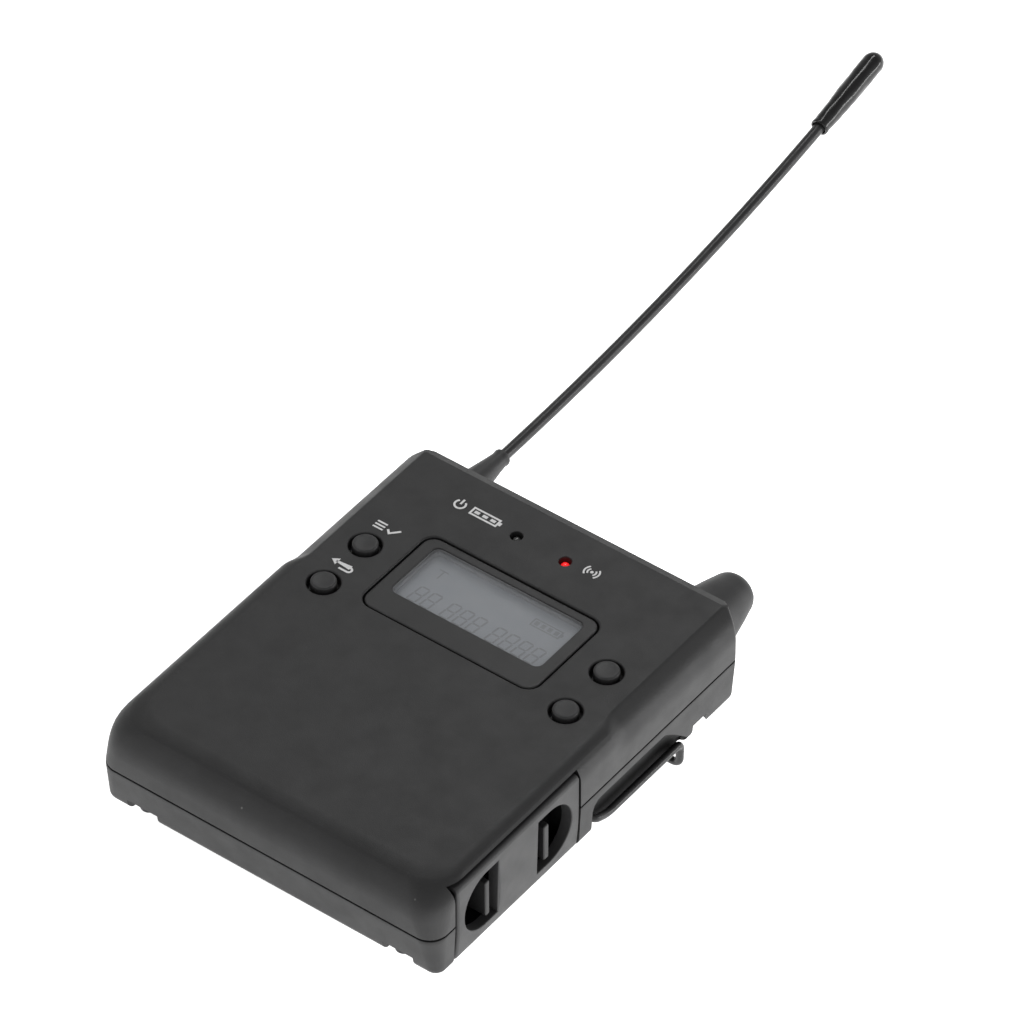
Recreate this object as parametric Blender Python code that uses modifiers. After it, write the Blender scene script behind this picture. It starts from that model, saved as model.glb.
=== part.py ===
"""Wireless bodypack transmitter: a flat two-shell pack with a display, four buttons, a whip antenna, a volume knob,
a slide-out battery drawer with two pinch latches, and a wire belt clip.

Frame: origin at the centre of the flat rear face, +X to the wearer-facing right of the display, +Y towards the
antenna end, +Z out of the front face. All driving sizes are in millimetres and are scaled to metres on creation.
"""

import math

import bmesh
import bpy
from mathutils import Matrix, Vector

MM = 0.001
GAP = 0.3                      # between pieces that touch

# Pack body
HALF_WIDTH = 34.0
HALF_LENGTH = 41.5
DEPTH = 18.6                   # rear face to front face
PARTING = 9.3                  # where the two covers meet
SEAM = 0.15                    # half of the seam between the covers
CORNER_RADIUS = 4.0            # bottom corners, in plan
CORNER_CUT = (4.45, 2.6)       # top corners, in plan: along X and along Y
END_RADIUS = 6.0               # bottom end to front face
SIDE_RADIUS = 3.6              # sides to front face
TOP_EDGE = (1.6, 0.65)         # chamfer from top end to front face: along Y and along Z
SHOULDER = (3.6, 2.7)          # chamfer beside the display: along X and along Z
SHOULDER_ROUND = 4.9           # radius that leads the chamfer into the side
SIDE_DRAFT = (0.45, 1.0)       # rear cover's sides and top end: draft, and round at the rear face
END_DRAFT = (1.1, 2.3)         # the same for its bottom end
SHOULDER_START = (5.9, 9.5)    # Y where the chamfer begins and where it is full
ROOF = 17.1                    # inner side of the front wall
FLOOR = 1.4                    # inner side of the rear wall
INNER_END = 39.8               # inner side of the end walls
RIB = (-3.6, -2.2)             # wall between the battery bay and the electronics

# Front panel
BEZEL_HALF = (17.8, 9.95)
BEZEL_Y = 15.25
BEZEL_CORNER = 2.6
WINDOW_HALF = (14.9, 6.2)
WINDOW_Y = 17.0
BUTTON_X = 24.5
BUTTON_Y = (16.4, 5.4)
BUTTONS = [("set", -1, 0), ("back", -1, 1), ("up", 1, 0), ("down", 1, 1)]   # name, side, row
BUTTON_RADIUS = 2.2
BUTTON_HOLE = 2.8
LED_Y = 32.9
LED_X = {"power_led": -6.1, "rf_led": 3.8}
LED_RADIUS = 0.8
LED_HOLE = 1.1

# Circuit board
BOARD = (12.6, 13.8)
BOARD_HALF_WIDTH = 27.6
BOARD_Y = (-1.8, 38.9)
BOARD_SCREWS = [(-25.0, 24.5), (25.0, 24.5), (-24.5, -0.1), (24.5, -0.1)]

# Case screws: X, Y and the depth of the counterbore in the rear face
END_SCREWS = [(-25.8, -38.6), (25.8, -38.6)]
SIDE_SCREWS = [(-31.0, 29.5), (31.0, 29.5)]
POCKET_DEPTH = 3.0             # the screw pockets break out through the nearest wall
END_POCKET = (3.1, -36.7)      # half width along X, and Y of its inner side
SIDE_POCKET = 3.3              # radius

# Top end
ANTENNA_X = -25.35
JACK_X = -1.0
POT_X = 24.4
ANTENNA_HOLE = 2.9
JACK_HOLE = 3.3
POT_HOLE = 3.5
WHIP_RADIUS = 1.03
WHIP_BORE = 1.2
BOOT_LENGTH = 13.1
WHIP_START = 38.6
WHIP_STRAIGHT_TO = 50.0        # straight inside the boot up to here
WHIP_END = 166.9
SLEEVE_START = 147.6
WHIP_SAG = 10.1                # sideways reach of the curve over WHIP_RUN
WHIP_RUN = 115.0
WHIP_LEAN = Vector((-0.3, 0.0, 1.0)).normalized()

# Battery drawer
DRAWER_Y = (-35.15, -3.45)
MOUTH_Y = (-36.0, -3.15)       # opening in the side that the door fills
DRAWER_FACE = 33.85
DRAWER_TOP = 16.75
DRAWER_MIDDLE = (DRAWER_Y[0] + DRAWER_Y[1]) / 2
CELL_RADIUS = 7.1
CELL_ENDS = (-25.3, 24.7)
CELL_Z = 9.75
CELL_PITCH = 15.0
RECESS_FLOOR = 29.2
RECESS_PLATE = 31.6            # inner side of the plate that the D-shaped holes go through
RECESS_LIP = 32.6              # the plate is thinned to here at each hole's straight side
RECESS_SIDE_ROOM = 2.4         # how far the space behind runs under the middle
RECESS_Z = (3.1, 14.6)
RECESS_STRAIGHT = 4.85         # from the drawer's middle to a recess's straight side
RECESS_WIDTH = 8.75
LATCH_TAB = 7.4                # from the drawer's middle to a tab's centre
LATCH_TAB_Z = (3.9, 11.4)
LATCH_SLOT_Z = (5.7, 11.2)

# Belt clip
CLIP_RADIUS = 0.72
CLIP_PIVOT = (1.7, 2.1)        # Y and Z of the bent-in ends
CLIP_HOLE = 0.98
CLIP_X = 33.0
CLIP_LEG_Z = 0.7
CLIP_REACH = 25.1
CLIP_BAR_Z = -3.9
SCOOP_X = 31.9                 # inner side of the hollow beside each leg
SCOOP_END = 0.25               # height left at that end, as a share
SCOOP_Z = (2.0, 7.6)           # where its wall starts to curve out and where it meets the side
SCOOP_Y = (0.2, 19.5, 26.2)    # start, where its end begins to slope down, and end


# ---------------------------------------------------------------- scene and materials

def start():
    for item in list(bpy.data.objects):
        bpy.data.objects.remove(item)
    groups = []
    for name in ("bodypack_transmitter", "cutters"):
        group = bpy.data.collections.new(name)
        bpy.context.scene.collection.children.link(group)
        groups.append(group)
    return groups


PARTS, CUTTERS = start()

MATERIALS = {
    "black_plastic": ((0.018, 0.018, 0.019, 1), 0.55, 0.0),
    "gloss_plastic": ((0.012, 0.012, 0.013, 1), 0.30, 0.0),
    "button_plastic": ((0.022, 0.022, 0.023, 1), 0.50, 0.0),
    "window": ((0.75, 0.80, 0.82, 0.35), 0.08, 0.0),
    "lcd": ((0.24, 0.27, 0.29, 1), 0.35, 0.0),
    "board": ((0.02, 0.13, 0.06, 1), 0.45, 0.0),
    "tin": ((0.62, 0.62, 0.60, 1), 0.32, 1.0),
    "nickel": ((0.66, 0.64, 0.60, 1), 0.25, 1.0),
    "brass": ((0.70, 0.52, 0.24, 1), 0.30, 1.0),
    "black_steel": ((0.02, 0.02, 0.02, 1), 0.30, 0.6),
    "black_rubber": ((0.020, 0.020, 0.020, 1), 0.60, 0.0),
    "red_lens": ((0.70, 0.02, 0.02, 1), 0.20, 0.0),
    "grey_lens": ((0.30, 0.30, 0.30, 1), 0.20, 0.0),
    "cell_wrap": ((0.05, 0.16, 0.40, 1), 0.35, 0.2),
}


def material(slot):
    found = bpy.data.materials.get(slot)
    if found:
        return found
    colour, roughness, metallic = MATERIALS[slot]
    made = bpy.data.materials.new(slot)
    made.use_nodes = True
    made.diffuse_color = colour
    shader = made.node_tree.nodes["Principled BSDF"]
    shader.inputs["Base Color"].default_value = colour
    shader.inputs["Roughness"].default_value = roughness
    shader.inputs["Metallic"].default_value = metallic
    return made


# ---------------------------------------------------------------- modelling helpers (millimetres)

def place(name, mesh):
    piece = bpy.data.objects.new(name, mesh)
    PARTS.objects.link(piece)
    return piece


def from_bmesh(name, shape):
    bmesh.ops.recalc_face_normals(shape, faces=shape.faces)
    mesh = bpy.data.meshes.new(name)
    shape.to_mesh(mesh)
    shape.free()
    return place(name, mesh)


def box(name, low, high):
    low, high = Vector(low), Vector(high)
    shape = bmesh.new()
    bmesh.ops.create_cube(shape, size=1.0)
    bmesh.ops.scale(shape, vec=(high - low) * MM, verts=shape.verts)
    bmesh.ops.translate(shape, vec=(high + low) / 2 * MM, verts=shape.verts)
    return from_bmesh(name, shape)


def cylinder(name, radius, first, last, segments=32, last_radius=None):
    first, last = Vector(first) * MM, Vector(last) * MM
    along = last - first
    shape = bmesh.new()
    bmesh.ops.create_cone(
        shape, cap_ends=True, segments=segments, radius1=radius * MM,
        radius2=(radius if last_radius is None else last_radius) * MM, depth=along.length,
    )
    turn = along.to_track_quat("Z", "Y").to_matrix().to_4x4()
    bmesh.ops.transform(shape, matrix=Matrix.Translation((first + last) / 2) @ turn, verts=shape.verts)
    return from_bmesh(name, shape)


def curve_to_mesh(curve_object, name):
    """A mesh object in place of a curve, with its loose caps welded on."""
    bpy.context.view_layer.update()
    mesh = bpy.data.meshes.new_from_object(curve_object.evaluated_get(bpy.context.evaluated_depsgraph_get()))
    shape = bmesh.new()
    shape.from_mesh(mesh)
    bmesh.ops.transform(shape, matrix=curve_object.matrix_world, verts=shape.verts)
    bmesh.ops.remove_doubles(shape, verts=shape.verts, dist=0.000001)
    bpy.data.objects.remove(curve_object)
    return from_bmesh(name, shape)


PLANES = {
    "Z": Matrix.Identity(4),
    "X": Matrix(((0, 0, 1, 0), (1, 0, 0, 0), (0, 1, 0, 0), (0, 0, 0, 1))),
    "Y": Matrix(((1, 0, 0, 0), (0, 0, -1, 0), (0, 1, 0, 0), (0, 0, 0, 1))),
}


def prism(name, outline, low, high, axis="Z"):
    """A flat outline pulled from low to high along axis. Its points are (x, y), (y, z) for X or (x, z) for Y."""
    curve = bpy.data.curves.new(name, "CURVE")
    curve.dimensions = "2D"
    curve.fill_mode = "BOTH"
    curve.extrude = (high - low) / 2 * MM
    spline = curve.splines.new("POLY")
    spline.points.add(len(outline) - 1)
    for point, (a, b) in zip(spline.points, outline):
        point.co = (a * MM, b * MM, 0, 1)
    spline.use_cyclic_u = True
    flat = place(name + "_outline", curve)
    flat.matrix_world = PLANES[axis] @ Matrix.Translation((0, 0, (low + high) / 2 * MM * (-1 if axis == "Y" else 1)))
    return curve_to_mesh(flat, name)


def loft(name, sections):
    """A closed body through loops of equal length, one above the other."""
    shape = bmesh.new()
    rings = [[shape.verts.new(Vector(point) * MM) for point in section] for section in sections]
    for lower, upper in zip(rings, rings[1:]):
        for i in range(len(lower)):
            j = (i + 1) % len(lower)
            shape.faces.new((lower[i], lower[j], upper[j], upper[i]))
    shape.faces.new(rings[0])
    shape.faces.new(rings[-1])
    return from_bmesh(name, shape)


def turned(name, profile, foot, toward=(0, 1, 0), steps=32):
    """A profile of (radius, height) turned about the line from foot along toward."""
    mesh = bpy.data.meshes.new(name)
    points = [(radius * MM, 0, height * MM) for radius, height in profile]
    closed = profile[0][0] > 0
    edges = [(i, i + 1) for i in range(len(points) - 1)]
    if closed:
        edges.append((len(points) - 1, 0))
    mesh.from_pydata(points, edges, [])
    piece = place(name, mesh)
    screw = piece.modifiers.new("turn", "SCREW")
    screw.steps = steps
    screw.render_steps = steps
    screw.use_merge_vertices = True
    screw.merge_threshold = 0.000001
    turn = Vector(toward).to_track_quat("Z", "Y").to_matrix().to_4x4()
    piece.matrix_world = Matrix.Translation(Vector(foot) * MM) @ turn
    return piece


def tube(name, points, radius, resolution=2):
    curve = bpy.data.curves.new(name, "CURVE")
    curve.dimensions = "3D"
    curve.bevel_depth = radius * MM
    curve.bevel_resolution = resolution
    curve.use_fill_caps = True
    spline = curve.splines.new("POLY")
    spline.points.add(len(points) - 1)
    for point, where in zip(spline.points, points):
        point.co = (*(Vector(where) * MM), 1)
    return place(name, curve)


def boolean(target, operation, *tools):
    for tool in tools:
        if tool.name in PARTS.objects:
            PARTS.objects.unlink(tool)
            CUTTERS.objects.link(tool)
        tool.hide_render = True
        tool.display_type = "WIRE"
        step = target.modifiers.new(operation.lower(), "BOOLEAN")
        step.operation = operation
        step.solver = "EXACT"
        step.object = tool
    return target


def cut(target, *tools):
    return boolean(target, "DIFFERENCE", *tools)


def join(target, *tools):
    return boolean(target, "UNION", *tools)


def dress(piece, slot):
    piece.data.materials.clear()
    piece.data.materials.append(material(slot))
    if piece.type == "MESH" and piece.data.polygons:
        piece.data.shade_smooth()
        piece.data.set_sharp_from_angle(angle=math.radians(35))
    return piece


def set_origin(piece, point):
    """Moves a mesh piece's origin onto its joint without moving its surface."""
    shift = Matrix.Translation(Vector(point) * MM)
    piece.data.transform(shift.inverted() @ piece.matrix_world)
    piece.matrix_world = shift


def arc(centre, radius, first, last, steps=6):
    """Points on an arc from the first to the last angle, in degrees."""
    angles = [math.radians(first + (last - first) * i / steps) for i in range(steps + 1)]
    return [(centre[0] + radius * math.cos(a), centre[1] + radius * math.sin(a)) for a in angles]


def rounded(half_x, half_y, centre_y, radius, steps=6):
    points = []
    for sign_x, sign_y, first in ((1, 1, 0), (-1, 1, 90), (-1, -1, 180), (1, -1, 270)):
        corner = (sign_x * (half_x - radius), centre_y + sign_y * (half_y - radius))
        points += arc(corner, radius, first, first + 90, steps)
    return points


def plan(inset=0.0, end_inset=0.0):
    """The pack's outline seen from the front, drawn in at the sides and top and by end_inset at the bottom."""
    x, top, bottom, r = HALF_WIDTH - inset, HALF_LENGTH - inset, -HALF_LENGTH + end_inset, CORNER_RADIUS
    cut_x, cut_y = CORNER_CUT
    return (
        arc((-x + r, bottom + r), r, 180, 270) + arc((x - r, bottom + r), r, 270, 360)
        + [(x, top - cut_y), (x - cut_x, top), (-x + cut_x, top), (-x, top - cut_y)]
    )


def edge_inset(draft, z):
    """How far a drafted wall with a round at the rear face has drawn in at height z."""
    slope, radius = draft
    below = max(0.0, radius - z)
    return slope * (1 - z / (PARTING - SEAM)) + radius - math.sqrt(radius * radius - below * below)


def flat(outline, z):
    return [(x, y, z) for x, y in outline]


# ---------------------------------------------------------------- covers

def shoulder_cutter(side):
    """The wedge that takes the front edge off beside the display, starting with a short slope."""
    wide, deep = SHOULDER
    corner = Vector((side * HALF_WIDTH, 0, DEPTH))
    r = SHOULDER_ROUND
    slope = math.degrees(math.atan2(wide, deep))
    foot = -deep - r * math.tan(math.radians(slope) / 2)
    face = [(3, foot), (3, 2), (-wide, 2), (-wide, 0)] + arc((-r, foot), r, slope, 0, 3)
    sections = []
    for y, size in ((SHOULDER_START[0], 0.04), (SHOULDER_START[1], 1.0), (HALF_LENGTH + 2, 1.0)):
        sections.append([(corner.x + side * a * size, y, corner.z + b * size) for a, b in face])
    return loft("shoulder_cut", sections)


def top_holes():
    """Holes for the antenna, the jack and the pot, on the seam between the covers."""
    return [
        cylinder("top_hole", radius, (x, INNER_END - 1, PARTING), (x, HALF_LENGTH + 1, PARTING))
        for x, radius in ((ANTENNA_X, ANTENNA_HOLE), (JACK_X, JACK_HOLE), (POT_X, POT_HOLE))
    ]


def bay_cutters(bottom, top):
    """The battery bay and its mouth in the right side."""
    bay = box("bay", (-31.0, DRAWER_Y[0] - GAP, bottom), (36, DRAWER_Y[1] + GAP, top))
    mouth = box("mouth", (30.5, MOUTH_Y[0], -1), (36, MOUTH_Y[1], DRAWER_TOP + 0.65))
    return [bay, mouth]


def front_cover():
    cover = prism("front_cover", plan(), PARTING + SEAM, DEPTH)
    end = [(HALF_LENGTH, 0), (HALF_LENGTH, DEPTH - TOP_EDGE[1]), (HALF_LENGTH - TOP_EDGE[0], DEPTH)]
    end += arc((-HALF_LENGTH + END_RADIUS, DEPTH - END_RADIUS), END_RADIUS, 90, 180, 10)
    end += [(-HALF_LENGTH, 0)]
    side = [(HALF_WIDTH, 0)] + arc((HALF_WIDTH - SIDE_RADIUS, DEPTH - SIDE_RADIUS), SIDE_RADIUS, 0, 90)
    side += [(-x, z) for x, z in reversed(side)]
    boolean(cover, "INTERSECT", prism("end_profile", end, -40, 40, "X"), prism("side_profile", side, -50, 50, "Y"))
    cut(cover, shoulder_cutter(1), shoulder_cutter(-1))

    for half, end in ((32.0, 36.5), (30.4, INNER_END)):
        hollow = [(-half, 8), (-half, 13.4), (-28.3, ROOF), (28.3, ROOF), (half, 13.4), (half, 8)]
        cut(cover, prism("hollow", hollow, RIB[1], end, "Y"))
    cut(cover, box("end_pocket", (-20, -39.4, 8), (20, -37.3, 14)))
    cut(cover, *bay_cutters(8, ROOF))

    for x, y in BOARD_SCREWS:
        join(cover, cylinder("board_boss", 1.9, (x, y, BOARD[1] + GAP), (x, y, ROOF + 0.3), 16))
    for x, y in SIDE_SCREWS:
        join(cover, cylinder("case_boss", 2.3, (x, y, PARTING + SEAM), (x, y, 15.0), 16))
    for x, y in BOARD_SCREWS:
        cut(cover, cylinder("board_screw_hole", 0.95, (x, y, 12), (x, y, ROOF - 0.4), 16))
    for x, y in END_SCREWS + SIDE_SCREWS:
        cut(cover, cylinder("case_screw_hole", 1.3, (x, y, 8), (x, y, 13.8), 16))

    cut(cover, prism("bezel_hole", rounded(*BEZEL_HALF, BEZEL_Y, BEZEL_CORNER), 15, DEPTH + 1))
    for x in (-BUTTON_X, BUTTON_X):
        for y in BUTTON_Y:
            cut(cover, cylinder("button_hole", BUTTON_HOLE, (x, y, 15), (x, y, DEPTH + 1)))
    for x in LED_X.values():
        cut(cover, cylinder("led_hole", LED_HOLE, (x, LED_Y, 15), (x, LED_Y, DEPTH + 1), 20))
    return cut(cover, *top_holes())


def scoop(side):
    """The hollow that the clip's leg lies in: upright at its foot, curving out above, with a sloping upper end."""
    low, high = SCOOP_Z
    angles = (0, 0.4, 0.8, 1.2, math.pi / 2)
    curve = [(SCOOP_X + 2.5 * (1 - math.cos(a)), low + (high - low) * math.sin(a)) for a in angles]
    outline = [(36, -1), (SCOOP_X, -1)] + curve + [(36, high)]
    start, slope, end = SCOOP_Y
    sections = []
    for y, height in ((start, 1.0), (slope, 1.0), (end, SCOOP_END)):
        sections.append([(side * x, y, z if z < 0 else z * height) for x, z in outline])
    return loft("scoop", sections)


def screw_pockets():
    """The pockets that the case screws' heads lie in, each open at the nearest wall."""
    half, inner = END_POCKET
    reach = HALF_LENGTH + 2
    outline = rounded(half, (reach + inner) / 2, (inner - reach) / 2, 1.2, 3)
    pockets = [prism("end_screw_pocket", [(x + a, b) for a, b in outline], -1, POCKET_DEPTH) for x, _ in END_SCREWS]
    for x, y in SIDE_SCREWS:
        pockets.append(cylinder("side_screw_pocket", SIDE_POCKET, (x, y, -1), (x, y, POCKET_DEPTH), 32))
    return pockets


def rear_cover():
    """The rear shell, with draft on its sides and a small round at the rear face."""
    levels = (0.0, 0.25, 0.8, 1.5, 2.3, PARTING - SEAM)
    cover = loft("rear_cover", [flat(plan(edge_inset(SIDE_DRAFT, z), edge_inset(END_DRAFT, z)), z) for z in levels])
    upper = PARTING + 1
    cut(cover, box("hollow", (-29.6, RIB[1], FLOOR), (29.6, 37.0, upper)))
    cut(cover, box("hollow", (-29.2, 36.0, FLOOR), (29.2, INNER_END, upper)))
    cut(cover, box("end_pocket", (-20, -39.2, 1.6), (20, -37.3, upper)))
    cut(cover, *bay_cutters(FLOOR, upper))
    pivot_y, pivot_z = CLIP_PIVOT
    for side in (-1, 1):
        a, b = sorted((side * 27.0, side * 30.0))
        join(cover, box("pivot_boss", (a, pivot_y - 2.9, FLOOR - 0.3), (b, pivot_y + 2.9, pivot_z + 2.6)))
        cut(cover, scoop(side))
        ends = (side * 28.2, pivot_y, pivot_z), (side * 33.0, pivot_y, pivot_z)
        cut(cover, cylinder("pivot_hole", CLIP_HOLE, *ends, 20))
    for x, y in SIDE_SCREWS:
        join(cover, cylinder("case_boss", 2.4, (x, y, FLOOR - 0.3), (x, y, PARTING - SEAM), 20))
        a, b = sorted((math.copysign(26.6, x), math.copysign(30.0, x)))
        join(cover, box("pocket_wall", (a, y - 4.3, FLOOR - 0.3), (b, y + 4.3, POCKET_DEPTH + 1.0)))
    for x, y in END_SCREWS + SIDE_SCREWS:
        cut(cover, cylinder("screw_hole", 1.3, (x, y, -1), (x, y, upper), 16))
    cut(cover, *screw_pockets())
    return cut(cover, *top_holes())


# ---------------------------------------------------------------- display, buttons and board

def display_bezel():
    half_x, half_y = BEZEL_HALF[0] - GAP, BEZEL_HALF[1] - GAP
    bezel = prism("display_bezel", rounded(half_x, half_y, BEZEL_Y, BEZEL_CORNER - GAP), 16.2, DEPTH)
    join(bezel, prism("flange", rounded(half_x + 1.2, half_y + 1.2, BEZEL_Y, BEZEL_CORNER), 15.9, ROOF - GAP))
    cut(bezel, prism("window_hole", rounded(*WINDOW_HALF, WINDOW_Y, 1.0, 3), 15, DEPTH + 1))
    rebate = rounded(WINDOW_HALF[0] + 1.3, WINDOW_HALF[1] + 1.1, WINDOW_Y, 1.0, 3)
    return cut(bezel, prism("lens_rebate", rebate, 15, DEPTH - 0.6))


def display_window():
    outline = rounded(WINDOW_HALF[0] + 1.0, WINDOW_HALF[1] + 0.8, WINDOW_Y, 0.8, 3)
    return prism("display_window", outline, 16.75, 17.75)


def lcd_panel():
    glass = box("lcd_panel", (-15.6, WINDOW_Y - 6.8, 15.7), (15.6, WINDOW_Y + 6.8, 16.45))
    return join(glass, box("lower_glass", (-15.6, WINDOW_Y - 8.2, 15.1), (15.6, WINDOW_Y + 6.8, 15.75)))


def lcd_backlight():
    return box("lcd_backlight", (-15.8, WINDOW_Y - 7.6, BOARD[1] + GAP), (15.8, WINDOW_Y + 7.0, 14.8))


def main_board():
    board = box("main_board", (-BOARD_HALF_WIDTH, BOARD_Y[0], BOARD[0]), (BOARD_HALF_WIDTH, BOARD_Y[1], BOARD[1]))
    for x, y in BOARD_SCREWS:
        cut(board, cylinder("board_hole", 1.05, (x, y, 12), (x, y, 15), 16))
    return board


def board_screw(name, x, y):
    profile = [(0, 16.3), (0.7, 16.3), (0.7, BOARD[0] - GAP), (1.5, BOARD[0] - GAP), (1.5, 11.6), (0, 11.4)]
    return turned(name, profile, (x, y, 0), (0, 0, 1), 12)


def case_screw(name, x, y):
    """Let into the rear face: shaft, pan head and a cross recess."""
    seat = POCKET_DEPTH - GAP
    head = seat - 0.95
    profile = [(0, 13.4), (0.95, 13.0), (0.95, seat), (1.6, seat), (1.6, head + 0.3), (1.3, head), (0, head)]
    screw = turned(name, profile, (x, y, 0), (0, 0, 1), 20)
    for along, across in ((0.9, 0.22), (0.22, 0.9)):
        cut(screw, box("cross", (x - along, y - across, -1), (x + along, y + across, head + 0.5)))
    return screw


def tact_switch(name, x, y):
    body = box(name, (x - 2.2, y - 2.2, BOARD[1] + GAP), (x + 2.2, y + 2.2, 14.7))
    return join(body, cylinder("plunger", 1.0, (x, y, 14.5), (x, y, 15.0), 16))


def button(name, x, y):
    """A domed cap on a flange that stops it coming out, and a stem over its switch."""
    r = BUTTON_RADIUS
    profile = [
        (0, 19.2), (r * 0.72, 19.14), (r * 0.93, 18.98), (r, 18.7), (r, 16.7), (3.3, 16.7), (3.3, 16.1),
        (1.2, 16.1), (1.2, 15.65), (0, 15.65),
    ]
    return turned(name, [(radius, z - DEPTH) for radius, z in profile], (x, y, DEPTH), (0, 0, 1), 32)


def led(name):
    r = LED_RADIUS
    dome = [(r * math.sin(a), 17.3 + r * math.cos(a)) for a in (0.0, 0.4, 0.8, 1.2, math.pi / 2)]
    profile = dome + [(r, 14.6), (r + 0.3, 14.6), (r + 0.3, BOARD[1] + GAP), (0, BOARD[1] + GAP)]
    return turned(name, profile, (LED_X[name], LED_Y, 0), (0, 0, 1), 20)


def rf_shield():
    """A folded can, open towards the board it covers."""
    can = box("rf_shield", (-13, 2, 9.4), (11, 22, BOARD[0] - GAP))
    return cut(can, box("can_inside", (-12.6, 2.4, 9.8), (10.6, 21.6, 14)))


# ---------------------------------------------------------------- top end: jack, volume control, antenna

def volume_pot():
    pot = box("volume_pot", (POT_X - 4.4, 31.9, PARTING - 3.1), (POT_X + 4.3, 39.3, PARTING + 2.9))
    join(pot, cylinder("bush", 3.2, (POT_X, 39.0, PARTING), (POT_X, 43.8, PARTING)))
    return cut(pot, cylinder("pot_bore", 2.15, (POT_X, 33.0, PARTING), (POT_X, 45, PARTING)))


def pot_nut():
    nut = cylinder("pot_nut", 4.2, (POT_X, HALF_LENGTH + GAP, PARTING), (POT_X, HALF_LENGTH + 1.8, PARTING), 6)
    return cut(nut, cylinder("nut_bore", 3.45, (POT_X, 40, PARTING), (POT_X, 45, PARTING)))


def pot_shaft():
    shaft = cylinder("pot_shaft", 2.0, (POT_X, 33.3, PARTING), (POT_X, 50.4, PARTING))
    set_origin(shaft, (POT_X, HALF_LENGTH, PARTING))
    return shaft


def volume_knob():
    """A smooth tapered knob, hollow at its foot where it covers the nut."""
    outside = [(2.0, 11.35), (3.0, 11.0), (3.55, 10.2), (3.95, 8.8), (4.55, 6.7), (5.3, 3.6), (6.1, 0.5)]
    inside = [(4.9, 0.5), (4.7, 2.7), (2.15, 2.7), (2.15, 9.2), (0, 9.2)]
    return turned("volume_knob", [(0, 11.4)] + outside + inside, (POT_X, HALF_LENGTH, PARTING), steps=48)


def audio_jack():
    jack = box("audio_jack", (JACK_X - 4.8, 27.0, PARTING - 2.8), (JACK_X + 4.8, 39.3, PARTING + 2.8))
    join(jack, cylinder("nose", 2.95, (JACK_X, 39.0, PARTING), (JACK_X, 43.4, PARTING)))
    return cut(jack, cylinder("jack_bore", 1.8, (JACK_X, 29.0, PARTING), (JACK_X, 45, PARTING)))


def jack_nut():
    """A round nut with a fine knurl."""
    teeth = 24
    outline = []
    for i in range(teeth * 2):
        angle = math.pi * i / teeth
        radius = 4.1 if i % 2 else 3.9
        outline.append((JACK_X + radius * math.cos(angle), PARTING + radius * math.sin(angle)))
    nut = prism("jack_nut", outline, HALF_LENGTH + GAP, HALF_LENGTH + 1.7, "Y")
    return cut(nut, cylinder("nut_bore", 3.25, (JACK_X, 40, PARTING), (JACK_X, 45, PARTING)))


def whip_point(y):
    """The whip leaves the boot straight along +Y and then bends away on a parabola."""
    run = max(0.0, y - WHIP_STRAIGHT_TO) / WHIP_RUN
    return Vector((ANTENNA_X, y, PARTING)) + WHIP_LEAN * WHIP_SAG * run * run


def antenna_ferrule():
    profile = [(WHIP_BORE, 4.4), (2.55, 4.4), (2.55, 2.4), (3.0, 2.4), (3.0, 0), (WHIP_BORE, 0)]
    return turned("antenna_ferrule", profile, (ANTENNA_X, 37.0, PARTING))


def antenna_boot():
    """A tapered sleeve with a small lip where the whip comes out."""
    outside = [(1.45, BOOT_LENGTH), (1.6, BOOT_LENGTH - 0.3), (1.55, BOOT_LENGTH - 1.0), (1.7, 10.4)]
    outside += [(2.2, 7.2), (2.8, 3.2), (3.1, 0.9), (3.0, GAP)]
    profile = [(WHIP_BORE, BOOT_LENGTH)] + outside + [(WHIP_BORE, GAP)]
    return turned("antenna_boot", profile, (ANTENNA_X, HALF_LENGTH, PARTING))


def antenna_whip():
    steps = 32
    points = [whip_point(WHIP_START), whip_point(WHIP_STRAIGHT_TO - 2)]
    for i in range(steps + 1):
        points.append(whip_point(WHIP_STRAIGHT_TO + (WHIP_END - 2 - WHIP_STRAIGHT_TO) * i / steps))
    return tube("antenna_whip", points, WHIP_RADIUS, 3)


def antenna_tip_sleeve():
    """A closed sleeve over the end of the whip, as a ring-by-ring shell that follows the curve."""
    outer, inner = 2.0, 1.24
    rings = [(SLEEVE_START, inner), (SLEEVE_START, outer - 0.35), (SLEEVE_START + 0.5, outer - 0.3)]
    rings += [(SLEEVE_START + 1.2, outer - 0.35), (SLEEVE_START + 6, outer - 0.05), (WHIP_END - 3, outer)]
    rings += [(WHIP_END - 2.0 + 1.9 * math.sin(a), outer * math.cos(a)) for a in (0.3, 0.7, 1.05, 1.35)]
    rings += [(WHIP_END - 1.6, inner), (WHIP_END - 8, inner), (SLEEVE_START + 5, inner)]
    segments = 20
    tip = 9
    shape = bmesh.new()
    loops = []
    for y, radius in rings:
        centre = whip_point(y)
        along = (whip_point(y + 0.5) - whip_point(y - 0.5)).normalized()
        across = along.cross(Vector((0, 0, 1))).normalized()
        upward = across.cross(along)
        loop = []
        for i in range(segments):
            angle = 2 * math.pi * i / segments
            offset = across * math.cos(angle) + upward * math.sin(angle)
            loop.append(shape.verts.new((centre + offset * radius) * MM))
        loops.append(loop)
    spans = [(i, i + 1) for i in range(len(rings) - 1) if i != tip] + [(len(rings) - 1, 0)]
    for a, b in spans:
        for i in range(segments):
            j = (i + 1) % segments
            shape.faces.new((loops[a][i], loops[a][j], loops[b][j], loops[b][i]))
    shape.faces.new(loops[tip])
    shape.faces.new(loops[tip + 1])
    return from_bmesh("antenna_tip_sleeve", shape)


# ---------------------------------------------------------------- battery drawer

def cell_y(side):
    return DRAWER_MIDDLE + side * CELL_PITCH / 2


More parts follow.
